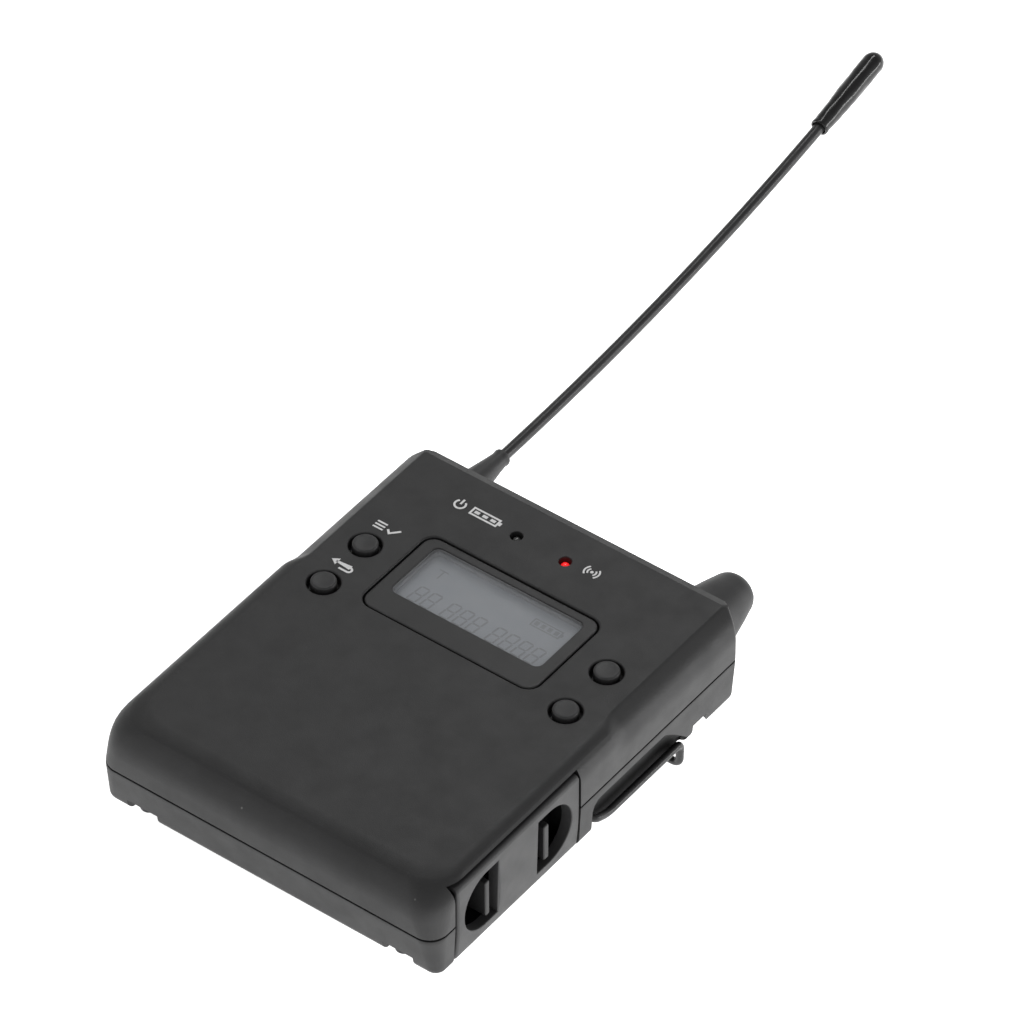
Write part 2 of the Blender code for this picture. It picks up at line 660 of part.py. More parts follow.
def recess_outline(side):
    """A D with its straight side towards the drawer's middle, as (y, z) points."""
    low, high = RECESS_Z
    radius = (high - low) / 2
    straight = RECESS_WIDTH - radius
    if side > 0:
        round_side = arc((DRAWER_MIDDLE + RECESS_STRAIGHT + straight, low + radius), radius, -90, 90, 14)
    else:
        round_side = arc((DRAWER_MIDDLE - RECESS_STRAIGHT - straight, low + radius), radius, 90, 270, 14)
    y = DRAWER_MIDDLE + side * RECESS_STRAIGHT
    ends = [(y, high), (y, low)]
    return round_side + (ends if side > 0 else list(reversed(ends)))


def battery_drawer():
    """A tray for two cells moulded in one with the door and its two finger recesses."""
    low_y, high_y = DRAWER_Y
    door = [(26.6, 1.7), (30.8, 1.7), (30.8, 0.1), (32.4, 0.1), (33.0, 0.45), (33.2, 1.0), (DRAWER_FACE, PARTING)]
    door += [(DRAWER_FACE, DRAWER_TOP - 0.8), (DRAWER_FACE - 0.25, DRAWER_TOP - 0.25), (DRAWER_FACE - 0.8, DRAWER_TOP)]
    door += [(26.6, DRAWER_TOP)]
    drawer = prism("battery_drawer", door, low_y, high_y, "Y")
    inner = -26.4
    join(drawer, box("tray", (inner, low_y, 1.7), (27.5, high_y, 10.0)))
    cut(drawer, box("tray_inside", (inner + 0.8, low_y + 0.9, 2.4), (26.6, high_y - 0.9, 12)))
    cut(drawer, box("end_gap", (inner - 1, low_y + 2.5, 4.4), (inner + 2, high_y - 2.5, 12)))
    for side in (-1, 1):
        cut(drawer, prism("finger_hole", recess_outline(side), RECESS_PLATE - 0.2, 36, "X"))
        hole_end = DRAWER_MIDDLE + side * (RECESS_STRAIGHT + RECESS_WIDTH)
        straight = DRAWER_MIDDLE + side * RECESS_STRAIGHT
        under = straight - side * RECESS_SIDE_ROOM
        low_z, high_z = RECESS_Z
        a, b = sorted((under, hole_end))
        cut(drawer, box("space_behind", (RECESS_FLOOR, a, low_z), (RECESS_PLATE, b, high_z)))
        a, b = sorted((under, straight + side * 0.2))
        cut(drawer, box("thinned_side", (RECESS_PLATE - 1, a, low_z), (RECESS_LIP, b, high_z)))
        edge = high_y + 1 if side > 0 else low_y - 1
        a, b = sorted((DRAWER_MIDDLE + side * 1.4, edge))
        cut(drawer, box("latch_pocket", (26.0, a, LATCH_SLOT_Z[0]), (28.3, b, LATCH_SLOT_Z[1])))
        a, b = sorted((DRAWER_MIDDLE + side * (RECESS_STRAIGHT + 0.2), DRAWER_MIDDLE + side * (LATCH_TAB + 0.8)))
        cut(drawer, box("stem_slot", (27, a, LATCH_SLOT_Z[0]), (30, b, LATCH_SLOT_Z[1])))
    return drawer


def latch(name, side):
    """A pinch latch: the ridge the finger pushes, a stem through the door and a slider behind it."""
    tab_y = DRAWER_MIDDLE + side * LATCH_TAB
    low_z, high_z = LATCH_SLOT_Z[0] + GAP, LATCH_SLOT_Z[1] - GAP
    ridge = box(name, (RECESS_FLOOR + GAP, tab_y - 0.5, LATCH_TAB_Z[0]), (33.0, tab_y + 0.5, LATCH_TAB_Z[1]))
    stem = box("stem", (27.5, tab_y - 0.5, low_z), (RECESS_FLOOR + 1, tab_y + 0.5, high_z))
    a, b = sorted((DRAWER_MIDDLE + side * 5.6, DRAWER_MIDDLE + side * 15.5))
    slider = box("slider", (26.9, a, low_z), (28.0, b, high_z))
    return join(ridge, stem, slider)


def latch_retainer():
    """The plate that keeps the sliders in their pockets."""
    low_y, high_y = DRAWER_Y
    return box("latch_retainer", (25.75, low_y + 1.2, 2.7), (26.3, high_y - 1.2, 14.5))


def latch_spring(name, side):
    """A short flattened coil behind each slider, closed up against the middle stop."""
    turns, points_a_turn, radius, length = 4, 10, 0.95, 1.7
    points = []
    for i in range(turns * points_a_turn + 1):
        angle = 2 * math.pi * i / points_a_turn
        y = DRAWER_MIDDLE + side * (1.9 + length * i / (turns * points_a_turn))
        points.append((27.5 + 0.45 * math.cos(angle), y, 8.8 + radius * math.sin(angle)))
    return tube(name, points, 0.12, 1)


def cell_link_strip():
    """A strip joining the two cells, with a dimple over each."""
    low = (25.15, cell_y(-1) - 3.6, CELL_Z - 2.4)
    return box("cell_link_strip", low, (25.45, cell_y(1) + 3.6, CELL_Z + 2.4))


def battery_cell(name, side):
    """An AA cell: can, crimped rim and button. The two lie head to tail."""
    foot = CELL_ENDS[0] if side > 0 else CELL_ENDS[1]
    r = CELL_RADIUS
    length = CELL_ENDS[1] - CELL_ENDS[0]
    profile = [
        (0, length), (2.4, length), (2.7, length - 0.3), (2.7, length - 1.2), (5.9, length - 1.2), (6.4, length - 1.5),
        (r, length - 2.0), (r, 0.5), (r - 0.5, 0), (0, 0),
    ]
    return turned(name, profile, (foot, cell_y(side), CELL_Z), (side, 0, 0), 36)


def contact_board():
    low_y, high_y = DRAWER_Y
    return box("contact_board", (-30.6, low_y + 1, 3.0), (-29.7, high_y - 1, 16.0))


def contact_leaf(name, side):
    """A leaf contact bent like a shallow V towards a cell's inner end."""
    bent = [(-29.3, 4.0), (-28.9, 4.0), (-28.9, 6.0), (-25.7, 9.4), (-25.7, 10.1), (-28.9, 13.5), (-28.9, 15.2)]
    bent += [(-29.3, 15.2), (-29.3, 13.3), (-26.2, 10.0), (-26.2, 9.5), (-29.3, 6.2)]
    return prism(name, bent, cell_y(side) - 2.4, cell_y(side) + 2.4, "Y")


# ---------------------------------------------------------------- belt clip

def smooth_path(points, radius, steps=4):
    """The polyline through points with each inner corner rounded."""
    points = [Vector(p) for p in points]
    path = [points[0]]
    for before, corner, after in zip(points, points[1:], points[2:]):
        back, ahead = before - corner, after - corner
        reach = min(radius, back.length * 0.49, ahead.length * 0.49)
        first, last = corner + back.normalized() * reach, corner + ahead.normalized() * reach
        for i in range(steps + 1):
            t = i / steps
            path.append(first * (1 - t) ** 2 + corner * 2 * t * (1 - t) + last * t * t)
    return path + [points[-1]]


def belt_clip_wire():
    """One bent wire: bent-in pivot ends, a leg along each side and a bar across the back."""
    pivot_y, pivot_z = CLIP_PIVOT
    half = [
        (28.7, pivot_y, pivot_z), (CLIP_X, pivot_y, pivot_z), (CLIP_X, pivot_y + 3.4, CLIP_LEG_Z),
        (CLIP_X, CLIP_REACH, CLIP_LEG_Z), (CLIP_X, CLIP_REACH - 0.2, CLIP_BAR_Z),
    ]
    path = half + [(-x, y, z) for x, y, z in reversed(half)]
    clip = curve_to_mesh(tube("belt_clip_wire", smooth_path(path, 1.4), CLIP_RADIUS, 3), "belt_clip_wire")
    set_origin(clip, (0, pivot_y, pivot_z))
    return clip


# ---------------------------------------------------------------- assembly

def build():
    dress(front_cover(), "black_plastic")
    dress(rear_cover(), "black_plastic")
    dress(display_bezel(), "gloss_plastic")
    dress(display_window(), "window")
    dress(lcd_panel(), "lcd")
    dress(lcd_backlight(), "lcd")
    dress(main_board(), "board")
    for number, place_xy in enumerate(BOARD_SCREWS, 1):
        dress(board_screw(f"board_screw_{number}", *place_xy), "nickel")
    for number, place_xy in enumerate(END_SCREWS + SIDE_SCREWS, 1):
        dress(case_screw(f"case_screw_{number}", *place_xy), "black_steel")
    dress(led("power_led"), "grey_lens")
    dress(led("rf_led"), "red_lens")
    dress(rf_shield(), "tin")
    for name, side, row in BUTTONS:
        dress(button("button_" + name, side * BUTTON_X, BUTTON_Y[row]), "button_plastic")
        dress(tact_switch("switch_" + name, side * BUTTON_X, BUTTON_Y[row]), "tin")

    dress(volume_pot(), "tin")
    dress(pot_nut(), "nickel")
    dress(pot_shaft(), "nickel")
    dress(volume_knob(), "black_rubber")
    dress(audio_jack(), "gloss_plastic")
    dress(jack_nut(), "nickel")
    dress(antenna_ferrule(), "brass")
    dress(antenna_boot(), "black_rubber")
    dress(antenna_whip(), "gloss_plastic")
    dress(antenna_tip_sleeve(), "gloss_plastic")

    dress(battery_drawer(), "black_plastic")
    dress(latch_retainer(), "black_plastic")
    dress(cell_link_strip(), "nickel")
    dress(contact_board(), "board")
    for place_name, side in (("lower", -1), ("upper", 1)):
        dress(latch("latch_" + place_name, side), "black_plastic")
        dress(latch_spring("latch_spring_" + place_name, side), "nickel")
        dress(battery_cell("battery_cell_" + place_name, side), "cell_wrap")
        dress(contact_leaf("contact_leaf_" + place_name, side), "nickel")
    dress(belt_clip_wire(), "black_steel")


build()
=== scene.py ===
"""The looks of the wireless bodypack transmitter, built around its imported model.

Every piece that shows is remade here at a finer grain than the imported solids, in the same frame and size.
The pieces inside keep their solids, with better materials. Sizes are in millimetres.
"""

from math import atan2, copysign, cos, hypot, pi, radians, sin, sqrt, tan

import bmesh
import bpy
from mathutils import Matrix, Vector


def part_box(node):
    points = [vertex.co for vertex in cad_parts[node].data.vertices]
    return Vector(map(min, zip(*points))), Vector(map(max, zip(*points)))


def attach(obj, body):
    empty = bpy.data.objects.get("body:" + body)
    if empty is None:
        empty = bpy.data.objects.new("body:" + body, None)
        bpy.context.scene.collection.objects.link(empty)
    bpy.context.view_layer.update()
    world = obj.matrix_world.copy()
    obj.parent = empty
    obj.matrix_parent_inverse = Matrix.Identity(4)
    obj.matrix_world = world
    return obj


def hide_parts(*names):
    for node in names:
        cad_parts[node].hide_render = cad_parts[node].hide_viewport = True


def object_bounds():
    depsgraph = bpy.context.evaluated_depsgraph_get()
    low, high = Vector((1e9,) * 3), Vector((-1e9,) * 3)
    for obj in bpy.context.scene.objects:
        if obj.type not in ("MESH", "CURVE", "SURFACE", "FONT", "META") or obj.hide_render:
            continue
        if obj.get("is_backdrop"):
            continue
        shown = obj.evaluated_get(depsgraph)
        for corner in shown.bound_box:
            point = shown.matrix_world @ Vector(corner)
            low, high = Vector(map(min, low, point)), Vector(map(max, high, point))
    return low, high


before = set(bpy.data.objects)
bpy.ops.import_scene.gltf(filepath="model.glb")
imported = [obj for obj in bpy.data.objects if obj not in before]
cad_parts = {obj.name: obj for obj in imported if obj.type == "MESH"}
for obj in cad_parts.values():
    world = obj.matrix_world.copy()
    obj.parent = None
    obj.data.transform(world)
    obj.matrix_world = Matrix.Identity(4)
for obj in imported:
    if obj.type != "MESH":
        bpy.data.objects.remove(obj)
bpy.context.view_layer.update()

MM = 0.001


def span(node):
    """A node's lowest and highest corners in millimetres."""
    low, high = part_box(node)
    return low / MM, high / MM


def centre(node):
    low, high = span(node)
    return (low + high) / 2


# ---- sizes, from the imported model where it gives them

FRONT_LOW, FRONT_HIGH = span("front_cover")
HALF_WIDTH = FRONT_HIGH.x
HALF_LENGTH = FRONT_HIGH.y
FACE = FRONT_HIGH.z
FRONT_RIM = FRONT_LOW.z
REAR_RIM = span("rear_cover")[1].z
PARTING = (FRONT_RIM + REAR_RIM) / 2
CORNER_RADIUS = (1.6, 3.4, 6.7)  # bottom corners in plan: at the rear face, the parting line, the front face
CORNER_CUT = (4.45, 2.6)       # top corners, in plan: along X and along Y
END_RADIUS = 6.0
SIDE_RADIUS = 3.6
TOP_EDGE = (1.6, 0.65)         # chamfer from top end to front face: along Y and along Z
SHOULDER = (3.6, 2.7)          # chamfer beside the display: along X and along Z
SHOULDER_ROUND = 4.9           # radius that leads the chamfer into the side
SHOULDER_RUN = (5.7, 9.9)      # Y over which the chamfer beside the display grows
SIDE_DRAFT = (0.45, 1.9)       # rear cover's sides and top end: draft, and round at the rear face
END_DRAFT = (1.45, 2.3)        # the same for its bottom end
ROOF = 17.1
FLOOR = 1.4
INNER_END = 39.8
RIB_TOP = -2.2
BEZEL_GAP = 0.28
BEZEL_SUNK = 0.15
BEZEL_HALF = (17.5, 9.65)
BEZEL_Y = centre("display_bezel").y
BEZEL_CORNER = 2.3
WINDOW_HALF = (15.1, 6.35)
WINDOW_Y = centre("display_window").y
LINER_TOP = FACE - 0.42
BUTTONS = ("button_set", "button_back", "button_up", "button_down")
BUTTON_HOLE = 2.8
BUTTON_RADIUS = 2.2
LEDS = ("power_led", "rf_led")
LED_HOLE = 1.1
LED_RADIUS = 0.8
END_SCREWS = ("case_screw_1", "case_screw_2")
SIDE_SCREWS = ("case_screw_3", "case_screw_4")
POCKET_DEPTH = 3.0             # the screw pockets break out through the nearest wall
END_POCKET = (3.1, -36.7)      # half width along X, and Y of its inner side
SIDE_POCKET = 3.3              # radius
TOP_HOLES = (("antenna_boot", 2.9), ("jack_nut", 3.3), ("volume_knob", 3.5))
DRAWER_LOW, DRAWER_HIGH = span("battery_drawer")
DRAWER_MIDDLE = (DRAWER_LOW.y + DRAWER_HIGH.y) / 2
RECESS_FLOOR = 29.2
MOUTH_Y = (-36.0, -3.15)       # opening in the side that the door fills
RECESS_PLATE = 31.8
RECESS_SIDE_ROOM = 2.4
RECESS_Z = (3.0, 14.8)
RECESS_STRAIGHT = 5.2
RECESS_WIDTH = 8.8
LATCH_TAB = 7.4
CLIP_RADIUS = 0.70
CLIP_PIVOT = (1.7, 2.1)
CLIP_X = 33.0
CLIP_LEG_Z = 0.7
CLIP_REACH = 25.1
CLIP_BAR_Z = -3.9
SCOOP_X = 31.9                 # inner side of the hollow beside each leg
SCOOP_Z = (2.0, 7.6)           # where its wall starts to curve out and where it meets the side
SCOOP_Y = (0.2, 19.5, 26.2)    # start, where its end begins to slope down, and end
SCOOP_END = 0.25               # height left at that end, as a share
ANTENNA_X = centre("antenna_boot").x
WHIP_RADIUS = 1.03
BOOT_LENGTH = 13.1
WHIP_STRAIGHT_TO = 50.0
WHIP_END = 166.9
SLEEVE_START = 147.6
WHIP_SAG = 10.1
WHIP_RUN = 115.0
WHIP_LEAN = Vector((-0.3, 0.0, 1.0)).normalized()

FLOOR_GLOW = (0.85, 1.35)      # the floor's own light: in front of the pack, and behind and beside it
SURROUND = (0.80, 0.24)        # the surround's strength: at the horizon and overhead
SOFTBOXES = (
    ("key", (0.69, -0.23, 0.69), 1.3, (0.9, 0.9), 1.2),
    ("overhead", (-0.44, 0.10, 0.89), 1.2, (0.30, 0.30), 0.85),
    ("fill", (-0.45, -0.66, 0.60), 1.35, (0.8, 0.8), 2.0),
    ("upper_strip", (-0.224, 0.578, 0.785), 1.0, (0.5, 0.11), 1.5),
    ("lower_strip", (0.806, 0.578, 0.129), 1.0, (0.5, 0.11), 1.8),
)


# ---- materials

class Look:
    """A material, or the world, built up node by node around its shader."""

    def __init__(self, name, world=None):
        self.made = world or bpy.data.materials.new(name)
        self.made.use_nodes = True
        self.tree = self.made.node_tree
        self.shader = self.tree.nodes["Background" if world else "Principled BSDF"]

    def feed(self, node, inputs):
        """Links each named input to a socket, or sets it to a value."""
        for name, value in inputs.items():
            if isinstance(value, bpy.types.NodeSocket):
                self.tree.links.new(value, node.inputs[name])
            else:
                node.inputs[name].default_value = value
        return node

    def add(self, kind, inputs, **settings):
        node = self.tree.nodes.new("ShaderNode" + kind)
        for name, value in settings.items():
            setattr(node, name, value)
        return self.feed(node, inputs)

    def place(self, space="Object"):
        return self.add("TexCoord", {}).outputs[space]

    def split(self, space="Object"):
        return self.add("SeparateXYZ", {"Vector": self.place(space)}).outputs

    def noise(self, scale, detail=3.0, roughness=0.5, stretch=None):
        """A noise texture; stretch is the mapping scale that draws it out."""
        place = self.place()
        if stretch:
            place = self.add("Mapping", {"Scale": stretch, "Vector": place}).outputs["Vector"]
        inputs = {"Scale": scale, "Detail": detail, "Roughness": roughness, "Vector": place}
        return self.add("TexNoise", inputs).outputs["Fac"]

    def ramp(self, factor, low, high, start=0.3, end=0.7):
        """The factor turned into a number between low and high."""
        inputs = {"Value": factor, "From Min": start, "From Max": end, "To Min": low, "To Max": high}
        return self.add("MapRange", inputs).outputs["Result"]

    def mix(self, factor, first, second):
        first, second = [(*part, 1) if isinstance(part, tuple) else part for part in (first, second)]
        inputs = {"Factor": factor, "A": first, "B": second}
        return self.add("Mix", inputs, data_type="RGBA").outputs["Result"]

    def tone(self, texture, first, second):
        return self.mix(self.ramp(texture, 0, 1), first, second)

    def bump(self, height, strength, distance, after=None):
        inputs = {"Strength": strength, "Distance": distance, "Height": height}
        if after:
            inputs["Normal"] = after
        normal = self.add("Bump", inputs).outputs["Normal"]
        self.feed(self.shader, {"Normal": normal})
        return normal

    def surface(self, colour, roughness, others=None):
        self.feed(self.shader, {"Base Color": colour, "Roughness": roughness, **(others or {})})


def grey(value, tint=(1.0, 1.0, 1.03)):
    return tuple(value * part for part in tint)


def moulded(name, value, roughness, grain=0.35, grain_size=0.16, specular=0.5, dust=0.0):
    """Black moulded plastic: a fine spark-eroded grain, slow waves in tone, and stray dust where asked."""
    look = Look(name)
    colour = look.tone(look.noise(70, 2), grey(value * 0.88), grey(value * 1.14))
    if dust:
        cells = look.add("TexVoronoi", {"Scale": 115, "Vector": look.place()})
        speck = look.ramp(cells.outputs["Distance"], dust, 0, 0.012, 0.028)
        colour = look.mix(speck, colour, (0.16, 0.16, 0.155))
    rough = look.ramp(look.noise(240, 3), roughness - 0.04, roughness + 0.05)
    look.surface(colour, rough, {"Specular IOR Level": specular})
    waves = look.bump(look.noise(160, 2), 0.06, 0.0004)
    look.bump(look.noise(1 / (grain_size * MM), 2, 0.6), grain, grain_size * MM * 0.35, waves)
    return look.made


def from_noise(name, grain, tones, rough, relief=None, others=None, rough_grain=None):
    """A look whose tone, roughness and relief follow one noise, or whose roughness follows another."""
    look = Look(name)
    texture = look.noise(*grain)
    worn = look.noise(*rough_grain) if rough_grain else texture
    look.surface(look.tone(texture, *tones), look.ramp(worn, *rough), others)
    if relief:
        look.bump(texture, *relief)
    return look.made


def metal(name, colour, roughness, scratch=0.2, stretch=(1, 1, 1)):
    tones = (tuple(part * 0.82 for part in colour), colour)
    rough = (roughness * 0.8, roughness * 1.3)
    return from_noise(name, (900, 4, 0.6, stretch), tones, rough, (scratch, 0.00002), {"Metallic": 1.0})


def painted_shade_plastic(name, value, low, high):
    """The rear cover's plastic inside a hollow, with painted shade: its colour darkens and its reflection
    dulls towards the bottom.
    """
    look = Look(name)
    rise = look.ramp(look.split()["Z"], 0, 1, low * MM, high * MM)
    colour = look.mix(rise, grey(value * 0.15), grey(value))
    gleam = {"Specular IOR Level": look.ramp(rise, 0.04, 0.5, 0, 1)}
    look.surface(colour, look.ramp(look.noise(240, 3), 0.50, 0.60), gleam)
    look.bump(look.noise(6000, 2, 0.6), 0.3, 0.00005)
    return look.made


def painted_wire():
    """Black lacquer over spring steel, thin enough to show the drawing marks along the wire."""
    marks = (500, 4, 0.6, (1, 0.08, 1))
    tones = (grey(0.010), grey(0.024))
    lacquer = {"Specular IOR Level": 0.35, "Coat Weight": 0.15, "Coat Roughness": 0.15}
    return from_noise("black_wire", marks, tones, (0.22, 0.38), (0.12, 0.00004), lacquer, (900, 3))


def jacket(name, value, roughness, coat, along=(1, 0.04, 1), depth=0.00005, strength=0.25, specular=0.5):
    """A drawn or shrunk black skin with faint lines running along it."""
    tones = (grey(value * 0.8), grey(value * 1.3))
    rough = (roughness * 0.85, roughness * 1.2)
    gleam = {"Specular IOR Level": specular, "Coat Weight": coat, "Coat Roughness": 0.08}
    return from_noise(name, (900, 3, 0.6, along), tones, rough, (strength, depth), gleam, (300, 3))


def crystal(name):
    """The display's grey-blue panel: a very fine dot grid under a hazy film."""
    look = Look(name)
    grid = look.add("TexVoronoi", {"Scale": 3600, "Randomness": 0.0, "Vector": look.place()})
    dots = look.ramp(grid.outputs["Distance"], 0, 1, 0.25, 0.6)
    cloud = look.tone(look.noise(60, 2), (0.255, 0.272, 0.297), (0.283, 0.298, 0.320))
    look.surface(look.mix(dots, cloud, (0.248, 0.264, 0.287)), look.ramp(look.noise(800, 3), 0.30, 0.40))
    return look.made


def lens(name):
    """Clear acrylic with a soft film over it."""
    film = ((0.60, 0.63, 0.66), (0.70, 0.72, 0.74))
    made = from_noise(name, (420, 3), film, (0.10, 0.18), None, {"Alpha": 0.16})
    made.surface_render_method = "BLENDED"
    return made


def glow(name, colour, strength):
    """A small coloured lens, lit from behind when strength isn't 0."""
    paler = tuple(min(1, part * 1.25 + 0.02) for part in colour)
    lit = {"Coat Weight": 0.5}
    if strength:
        lit.update({"Emission Color": (*colour, 1), "Emission Strength": strength})
    return from_noise(name, (1500, 2), (colour, paler), (0.20, 0.30), None, lit)


def paint(name, colour, roughness=0.55):
    """Screen-printed ink, a little uneven in its cover."""
    tones = (tuple(part * 0.86 for part in colour), colour)
    return from_noise(name, (2500, 3), tones, (roughness - 0.05, roughness + 0.1), (0.15, 0.00002))


def board_green(name):
    """Solder mask over copper tracks."""
    look = Look(name)
    tracks = look.add("TexBrick", {
        "Scale": 260, "Mortar Size": 0.035, "Vector": look.place(), "Color1": (0.012, 0.085, 0.035, 1),
        "Color2": (0.014, 0.095, 0.040, 1), "Mortar": (0.030, 0.150, 0.060, 1),
    })
    look.surface(tracks.outputs["Color"], look.ramp(look.noise(500, 3), 0.28, 0.42))
    look.bump(tracks.outputs["Fac"], 0.3, 0.00003)
    return look.made


CASE = moulded("case_plastic", 0.0135, 0.50, dust=0.5)
CASE_REAR = moulded("case_plastic_rear", 0.0145, 0.52, dust=0.4)
CASE_DOOR = moulded("case_plastic_door", 0.026, 0.50, dust=0.5)
INNER = moulded("inner_plastic", 0.018, 0.50)
BEZEL = moulded("bezel_plastic", 0.0125, 0.42, grain=0.18, grain_size=0.10)
KEY = moulded("button_plastic", 0.020, 0.46, grain=0.35, grain_size=0.13)
KNOB = moulded("knob_plastic", 0.018, 0.55, grain=0.30, grain_size=0.12)
BOOT = moulded("boot_rubber", 0.027, 0.52, grain=0.22, grain_size=0.12)
# Painted shade: a near-black, dull copy of the door's plastic for the shadowed space behind the finger holes.
PAINTED_SHADE_RECESS = moulded("case_plastic_recess_painted_shade", 0.004, 0.60, specular=0.12)
# Painted shade: the rear plastic darkened, and its reflection dulled, towards the bottom of the hollows
# beside the clip legs.
PAINTED_SHADE_HOLLOW = painted_shade_plastic("case_plastic_hollow_painted_shade", 0.0145, 2.0, 8.2)
WIRE = painted_wire()
WHIP = jacket("whip_jacket", 0.027, 0.34, 0.10, specular=0.3)
SLEEVE = jacket("heat_shrink", 0.010, 0.20, 0.25, (1, 0.10, 1), 0.00010, 0.35, specular=0.3)
LCD = crystal("lcd")
LENS = lens("window")
INK = paint("label_ink", (0.86, 0.86, 0.86))
# Painted light: a pale plastic for the ring round the lens, standing in for the lit walls of the window.
LINER = moulded("pale_liner_painted_light", 0.19, 0.45, grain=0.12)
LCD_INK = paint("lcd_segments", (0.165, 0.170, 0.185), 0.35)
RED = glow("red_led", (0.80, 0.012, 0.014), 0.9)
CLEAR = glow("clear_led", (0.06, 0.06, 0.06), 0)
NICKEL = metal("nickel", (0.62, 0.60, 0.56), 0.24)
TIN = metal("tinned_steel", (0.60, 0.60, 0.58), 0.34, stretch=(1, 0.15, 1))
BRASS = metal("brass", (0.72, 0.53, 0.24), 0.28)
SCREW = metal("black_screw", (0.045, 0.045, 0.048), 0.38, 0.3)
BOARD = board_green("circuit_board")
DIFFUSER = moulded("backlight", 0.75, 0.6, grain=0.1)
WRAP = jacket("cell_wrap", 0.05, 0.30, 0.4)


# ---- modelling helpers

def add_object(name, data):
    made = bpy.data.objects.new(name, data)
    bpy.context.scene.collection.objects.link(made)
    return made


def piece_from(name, shape, smooth=35):
    bmesh.ops.recalc_face_normals(shape, faces=shape.faces)
    mesh = bpy.data.meshes.new(name)
    shape.to_mesh(mesh)
    shape.free()
    piece = add_object(name, mesh)
    soften(piece, smooth)
    return piece


def at_level(outline, z):
    return [(x, y, z) for x, y in outline]


def soften(piece, smooth=35):
    piece.data.shade_smooth()
    piece.data.set_sharp_from_angle(angle=radians(smooth))


def box(name, low, high, round_by=0.0, steps=3):
    low, high = Vector(low), Vector(high)
    shape = bmesh.new()
    bmesh.ops.create_cube(shape, size=1.0)
    bmesh.ops.scale(shape, vec=(high - low) * MM, verts=shape.verts)
    bmesh.ops.translate(shape, vec=(high + low) / 2 * MM, verts=shape.verts)
    if round_by:
        bmesh.ops.bevel(
            shape, geom=shape.edges[:], offset=round_by * MM, segments=steps, profile=0.5, affect="EDGES",
            clamp_overlap=True,
        )
    return piece_from(name, shape)


def cylinder(name, radius, first, last, segments=64):
    first, last = Vector(first) * MM, Vector(last) * MM
    along = last - first
    shape = bmesh.new()
    bmesh.ops.create_cone(
        shape, cap_ends=True, segments=segments, radius1=radius * MM, radius2=radius * MM, depth=along.length,
    )
    turn = along.to_track_quat("Z", "Y").to_matrix().to_4x4()
    bmesh.ops.transform(shape, matrix=Matrix.Translation((first + last) / 2) @ turn, verts=shape.verts)
    return piece_from(name, shape)


def loft(name, sections, smooth=35, pairs=None, caps=(0, -1)):
    """A body through loops of equal length, each joined to the next unless pairs says otherwise."""
    shape = bmesh.new()
    rings = [[shape.verts.new(Vector(point) * MM) for point in section] for section in sections]
    for a, b in pairs or zip(range(len(rings)), range(1, len(rings))):
        lower, upper = rings[a], rings[b]
        for i in range(len(lower)):
            j = (i + 1) % len(lower)
            shape.faces.new((lower[i], lower[j], upper[j], upper[i]))
    for cap in caps:
        shape.faces.new(rings[cap])
    return piece_from(name, shape, smooth)


def turned(name, profile, foot, toward=(0, 0, 1), steps=64, smooth=35):
    """A profile of (radius, height) turned about the line from foot toward; radius 0 at an end closes it."""
    turn = Vector(toward).to_track_quat("Z", "Y").to_matrix()
    foot = Vector(foot)
    shape = bmesh.new()
    rings = []
    for radius, height in profile:
        around = circle(0, 0, radius, steps) if radius else [(0, 0)]
        rings.append([shape.verts.new((foot + turn @ Vector((x, y, height))) * MM) for x, y in around])
    pairs = list(zip(rings, rings[1:]))
    if profile[0][0] > 0:
        pairs.append((rings[-1], rings[0]))
    for lower, upper in pairs:
        for i in range(steps):
            j = (i + 1) % steps
            corners = [ring[k % len(ring)] for ring, k in ((lower, i), (lower, j), (upper, j), (upper, i))]
            shape.faces.new(list(dict.fromkeys(corners)))
    return piece_from(name, shape, smooth)


def arc(middle, radius, first, last, steps=8):
    angles = [radians(first + (last - first) * i / steps) for i in range(steps + 1)]
    return [(middle[0] + radius * cos(a), middle[1] + radius * sin(a)) for a in angles]


def rounded(half_x, half_y, centre_y, radius, steps=8):
    points = []
    for sign_x, sign_y, first in ((1, 1, 0), (-1, 1, 90), (-1, -1, 180), (1, -1, 270)):
        corner = (sign_x * (half_x - radius), centre_y + sign_y * (half_y - radius))
        points += arc(corner, radius, first, first + 90, steps)
    return points


def turns(steps):
    return [2 * pi * i / steps for i in range(steps)]


def circle(x, y, radius, steps=48):
    return [(x + radius * cos(angle), y + radius * sin(angle)) for angle in turns(steps)]


def fillet(corners, steps=4):
    """A polygon of (x, y, radius) corners with each corner rounded by its radius."""
    outline = []
    count = len(corners)
    for i, (x, y, radius) in enumerate(corners):
        here = Vector((x, y))
        if radius == 0:
            outline.append((x, y))
            continue
        before = (Vector(corners[i - 1][:2]) - here).normalized()
        after = (Vector(corners[(i + 1) % count][:2]) - here).normalized()
        half = before.angle(after) / 2
        reach = radius / tan(half)
        middle = here + (before + after).normalized() * radius / sin(half)
        first, last = here + before * reach - middle, here + after * reach - middle
        sweep = atan2(first.cross(last), first.dot(last))
        for step in range(steps + 1):
            turn = Matrix.Rotation(sweep * step / steps, 2)
            point = middle + turn @ first
            outline.append((point.x, point.y))
    return outline


def prism(name, outline, low, high, axis="Z"):
    """An outline pulled from low to high. Its points are (x, y), or (x, z) for axis Y."""
    if axis == "Y":
        return loft(name, [[(a, level, b) for a, b in outline] for level in (low, high)])
    return loft(name, [at_level(outline, low), at_level(outline, high)])


